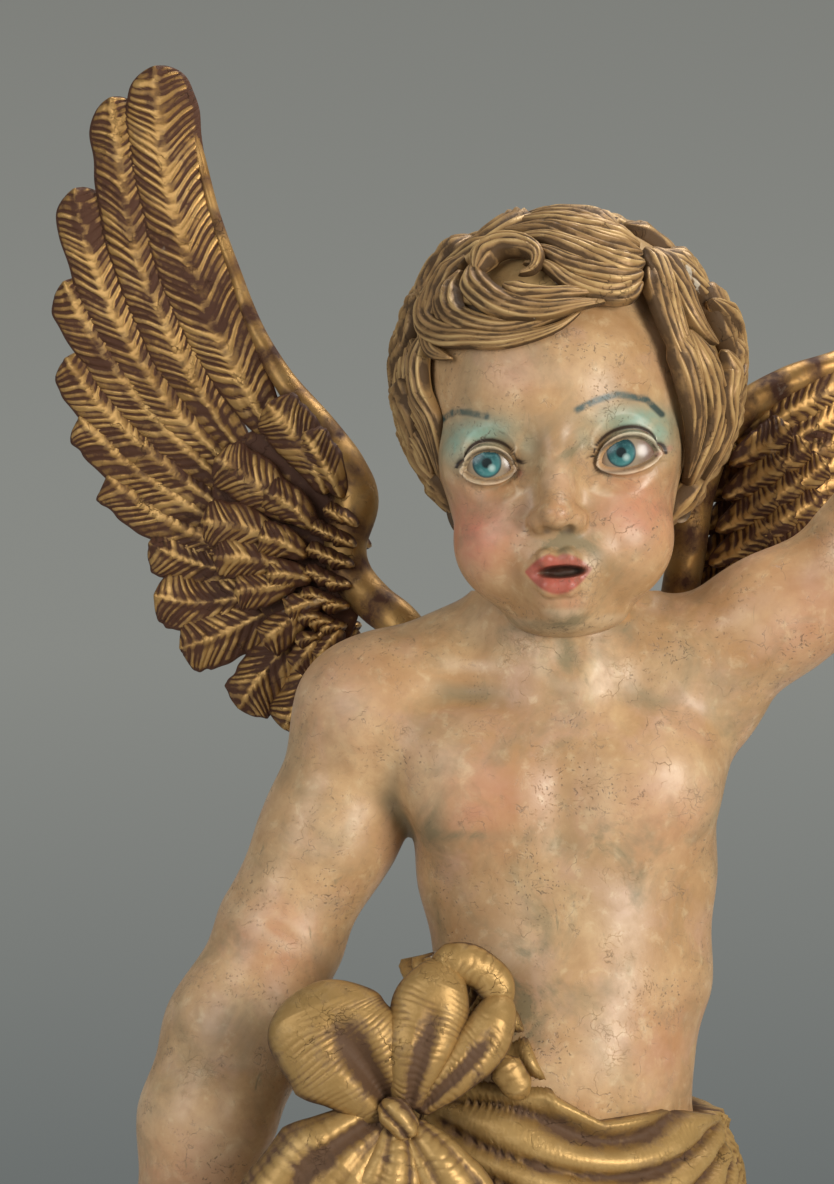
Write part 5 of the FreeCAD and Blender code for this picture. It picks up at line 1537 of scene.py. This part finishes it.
def gold_group():
    """Gilding on the high parts, worn through to a red-brown ground in the grooves."""
    tree, given, out = new_group(
        "worn gilding",
        {"Float": "Relief Stains Cracks Chips Brush Patches Wear Gesso Shine", "Color": "Leaf Deep Ground"},
        {"Color": "Color", "Float": "Metal Rough Height"})
    relief, brush, cracks = given["Relief"], given["Brush"], given["Cracks"]
    tired = plus(given["Wear"], times(minus(brush, 0.5), 2.4))
    tired = plus(tired, times(given["Stains"], 0.75))
    tired = plus(tired, times(minus(given["Patches"], 0.5), 1.1))
    kept = spread_over(minus(relief, tired), -0.45, 0.3)
    gold = blended(spread_over(relief, 0.0, 0.9), given["Deep"], given["Leaf"])
    gold = blended(times(spread_over(brush, 0.5, 0.72), 0.35), gold, BURNISHED)
    colour = blended(kept, given["Ground"], gold)
    colour = blended(times(cracks, 0.6), colour, GOLD_CRACK)
    chips = times(given["Chips"], given["Gesso"], clamp=True)
    tree.links.new(blended(chips, colour, GESSO_WHITE), out["Color"])
    tree.links.new(times(times(kept, minus(1.0, chips)), given["Shine"]), out["Metal"])
    rough = plus(spread_over(kept, 0.0, 1.0, 0.62, 0.36), times(brush, 0.12))
    tree.links.new(rough, out["Rough"])
    height = minus(plus(times(brush, 0.8), times(kept, 0.25)), times(most(cracks, chips), 0.8))
    tree.links.new(height, out["Height"])
    return tree


GOLD = gold_group()


def gold_material(name, leaf, deep, ground, wear, gesso, patch_scale, strength=0.6, shine=0.62):
    """Gilt paint; wear, gesso and shine say how bare, how chipped and how metallic it is."""
    material, tree, place, age = start_material(name)
    given = {"Leaf": (*leaf, 1), "Deep": (*deep, 1), "Ground": (*ground, 1), "Wear": wear, "Gesso": gesso,
             "Shine": shine, "Relief": attribute(tree, "relief"),
             "Patches": noise(place, patch_scale, 6.0, 0.62, 0.5)}
    for label in ("Stains", "Cracks", "Chips", "Brush"):
        given[label] = age[label]
    mixed = put(tree, "ShaderNodeGroup", node_tree=GOLD)
    for label, value in given.items():
        if isinstance(value, bpy.types.NodeSocket):
            tree.links.new(value, mixed.inputs[label])
        else:
            mixed.inputs[label].default_value = value
    close_material(tree, mixed.outputs["Color"], mixed.outputs["Rough"], mixed.outputs["Height"],
                   mixed.outputs["Metal"], strength, specular=0.3)
    return material


def far_from(across, up, at_across=0.0, at_up=0.0):
    """The distance between two sockets' place and a fixed one."""
    if at_across or at_up:
        across, up = minus(across, at_across), plus(up, -at_up)
    return calc("SQRT", plus(times(across, across), times(up, up)))


EYE_WHITE, EYE_CORNER_PINK_AND_SHADE, EYE_STAIN = (0.27, 0.205, 0.135), (0.13, 0.055, 0.036), (0.22, 0.16, 0.09)
IRIS_SHADED, IRIS_LIT, IRIS_FLECK = (0.010, 0.055, 0.062), (0.05, 0.19, 0.185), (0.11, 0.25, 0.25)
IRIS_RIM, PUPIL, GLINT = (0.015, 0.035, 0.04), (0.008, 0.016, 0.018), (0.42, 0.55, 0.50)


def eye_material():
    """Glossy eyes: teal irises with dark pupils and rims, painted light and a painted highlight on their
    lower right, and old cream whites, redder at their corners and darkened there by painted shade.
    """
    material, tree, place, age = start_material("eye varnish")
    across, up = attribute(tree, "iris_x"), attribute(tree, "iris_z")
    distance = far_from(across, up)
    # whites darker and redder towards the corners: pink paint, and painted shade where the lids close over
    # the eyeball
    white = blended(spread_over(calc("ABSOLUTE", across), 3.1, 5.4), EYE_WHITE, EYE_CORNER_PINK_AND_SHADE)
    white = blended(times(age["Stains"], 0.6), white, EYE_STAIN)
    # painted light: each iris paler towards its lower right, between a shaded and a lit teal
    lit_side = spread_over(plus(up, times(across, -0.5)), 1.4, -2.6)
    iris = blended(lit_side, IRIS_SHADED, IRIS_LIT)
    iris = blended(times(spread_over(noise(place, 900.0, 4.0), 0.5, 0.7), 0.5), iris, IRIS_FLECK)
    iris = blended(spread_over(distance, 2.5, 3.0), iris, IRIS_RIM)
    colour = blended(spread_over(distance, 2.95, 3.2), iris, white)
    colour = blended(spread_over(distance, 1.3, 0.9), colour, PUPIL)
    # a painted highlight: a soft glint on the iris's lower right
    glint = spread_over(far_from(across, up, 1.0, -1.1), 1.0, 0.3)
    colour = blended(times(glint, 0.75), colour, GLINT)
    close_material(tree, colour, 0.24, age["Brush"], 0.0, 0.08, coat=0.25)
    return material


def plain_material(name, colour, second, rough, metal, scale, stretch=(1, 1, 1), strength=0.4):
    """Felt, turned steel and dowel wood: one colour broken up by stretched noise."""
    material, tree, place, age = start_material(name)
    grain = noise(scaled(place, stretch), scale, 6.0, 0.65, 0.2)
    tone = blended(spread_over(grain, 0.35, 0.68), colour, second)
    tone = blended(times(age["Stains"], 0.35), tone, tuple(0.4 * channel for channel in colour))
    close_material(tree, tone, spread_over(grain, 0.2, 0.8, rough, rough + 0.15), grain, metal, strength)
    return material


# ---------------------------------------------------------------- the figure

def paint_eyes(mesh):
    """Stores how far each point of the eyeballs is from its iris, across and up, in millimetres."""
    q = to_head(points_of(mesh))
    right = q[:, 0] < 0
    set_attribute(mesh, "iris_x", np.where(right, q[:, 0] + 14.9, q[:, 0] - 13.2))
    set_attribute(mesh, "iris_z", np.where(right, q[:, 2] + 1.1, q[:, 2] + 0.4))


flesh = flesh_material()
# leaf, deep and ground colours, wear, gesso chips, patch scale, bump strength and shine
hair_paint = gold_material("hair paint", (0.50, 0.32, 0.13), (0.29, 0.165, 0.064), (0.085, 0.045, 0.017),
                           -0.42, 0.6, 46.0, 0.8, 0.2)
gilding = gold_material("wing gilding", (0.50, 0.29, 0.10), (0.28, 0.145, 0.042), (0.075, 0.028, 0.012),
                        0.2, 0.12, 34.0, 0.8, 0.64)
cloth_gilding = gold_material("cloth gilding", (0.42, 0.26, 0.092), (0.25, 0.14, 0.042),
                              (0.095, 0.048, 0.022), 0.05, 1.0, 60.0, 1.0, 0.42)
# brown stained wood effect with gilt on the mouldings' high edges
base_finish = gold_material("base finish", (0.42, 0.27, 0.11), (0.16, 0.09, 0.04), (0.06, 0.032, 0.02),
                            0.35, 0.5, 22.0)

for node, skin in body_skins().items():
    finish_piece(skin, flesh, "flesh_paint", node)
finish_piece(head_skin(), flesh, "flesh_paint", "head")
eyeballs = eyes()
paint_eyes(eyeballs.data)
finish_piece(eyeballs, eye_material(), "eye_varnish", "head")
for lock_piece in hair():
    finish_piece(lock_piece, hair_paint, "hair_paint", "head")
for feathers in right_wing():
    finish_piece(feathers, gilding, "gilding", "right_wing")
for feathers in left_wing():
    finish_piece(feathers, gilding, "gilding", "left_wing")
finish_piece(loincloth(), cloth_gilding, "cloth_gilding", "loincloth")
finish_piece(bow(), cloth_gilding, "cloth_gilding", "bow")
plinth = base()
add_relief(plinth.data, 2, 1.5)
finish_piece(plinth, base_finish, "base_finish", "base_plinth")

felt = plain_material("green felt", (0.03, 0.075, 0.04), (0.055, 0.12, 0.065), 0.9, 0.0, 900.0, strength=0.9)
steel = plain_material("turned steel", (0.50, 0.50, 0.49), (0.62, 0.62, 0.61), 0.3, 1.0, 300.0,
                       (4, 4, 0.4), 0.2)
wood = plain_material("dowel wood", (0.55, 0.36, 0.17), (0.42, 0.25, 0.11), 0.6, 0.0, 120.0, (6, 6, 0.6))
CARRIED_OVER = {
    felt: ("base_felt",),
    steel: ("leg_rods", "rod_washers", "rod_nuts"),
    wood: ("neck_dowel", "shoulder_dowels", "elbow_dowels", "wing_dowels"),
}
for material, nodes in CARRIED_OVER.items():
    for node in nodes:
        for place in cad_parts[node].material_slots:
            place.material = material


# ---------------------------------------------------------------- floor, lights and camera

def floor_material():
    """A plain pale grey floor with a faint mottle."""
    material = bpy.data.materials.new("pale floor")
    material.use_nodes = True
    tree = material.node_tree
    shader = tree.nodes["Principled BSDF"]
    shader.inputs["Roughness"].default_value = 0.8
    place = put(tree, "ShaderNodeTexCoord").outputs["Object"]
    tone = blended(noise(place, 6.0, 4.0), (0.40, 0.41, 0.40), (0.46, 0.465, 0.45))
    tree.links.new(tone, shader.inputs["Base Color"])
    return material


def make_floor():
    bm = bmesh.new()
    bmesh.ops.create_circle(bm, cap_ends=True, segments=96, radius=0.75)
    obj = piece_from(bm, "floor")
    obj.data.materials.append(floor_material())


def make_world():
    """Soft even light; seen directly or mirrored it is a mid grey that darkens towards its foot."""
    world = bpy.data.worlds.new("studio")
    world.use_nodes = True
    bpy.context.scene.world = world
    tree = world.node_tree
    tree.nodes.clear()
    path = put(tree, "ShaderNodeLightPath")
    seen = most(path.outputs["Is Camera Ray"], path.outputs["Is Transmission Ray"])
    seen = most(seen, path.outputs["Is Glossy Ray"])
    seen_from = put(tree, "ShaderNodeTexCoord").outputs["Object"]
    way = put(tree, "ShaderNodeSeparateXYZ", {0: seen_from}).outputs[2]
    low = blended(spread_over(way, -0.015, -0.145), (0.245, 0.252, 0.234), (0.145, 0.158, 0.155))
    tone = blended(spread_over(way, 0.03, 0.2), low, (0.195, 0.198, 0.182))
    shown = put(tree, "ShaderNodeBackground", {"Color": tone, "Strength": 1.0}).outputs[0]
    light = put(tree, "ShaderNodeBackground", {"Color": (0.93, 0.96, 1.0, 1), "Strength": 0.42}).outputs[0]
    both = put(tree, "ShaderNodeMixShader", {0: seen, 1: light, 2: shown}).outputs[0]
    tree.links.new(both, put(tree, "ShaderNodeOutputWorld").inputs[0])


def add_lamp(name, place, target, size, power, colour):
    lamp = bpy.data.lights.new(name, "AREA")
    lamp.shape = "DISK"
    lamp.size = size
    lamp.energy = power
    lamp.color = colour
    obj = bpy.data.objects.new(name, lamp)
    obj.location = place
    obj.rotation_euler = (Vector(target) - Vector(place)).to_track_quat("-Z", "Y").to_euler()
    bpy.context.scene.collection.objects.link(obj)


def make_camera():
    """Level with the chest, square to the front, showing the figure from its hips up."""
    lens = bpy.data.cameras.new("camera")
    lens.sensor_width = 36
    lens.lens = 127
    lens.clip_start = 0.05
    obj = bpy.data.objects.new("camera", lens)
    obj.location = (-0.0308, -0.9, 0.3162)
    obj.rotation_euler = (math.radians(90), 0, 0)
    bpy.context.scene.collection.objects.link(obj)
    bpy.context.scene.camera = obj


make_floor()
make_world()
add_lamp("key", (0.75, -0.95, 0.42), (0.0, 0, 0.30), 0.55, 13.0, (1.0, 0.965, 0.90))
add_lamp("fill", (-0.85, -0.9, 0.7), (0, 0, 0.28), 0.8, 5.5, (0.95, 0.975, 1.0))
add_lamp("top", (0.25, 0.25, 1.15), (0, 0, 0.3), 0.6, 7.0, (1.0, 0.98, 0.95))
make_camera()
bpy.context.scene.view_settings.view_transform = "Standard"
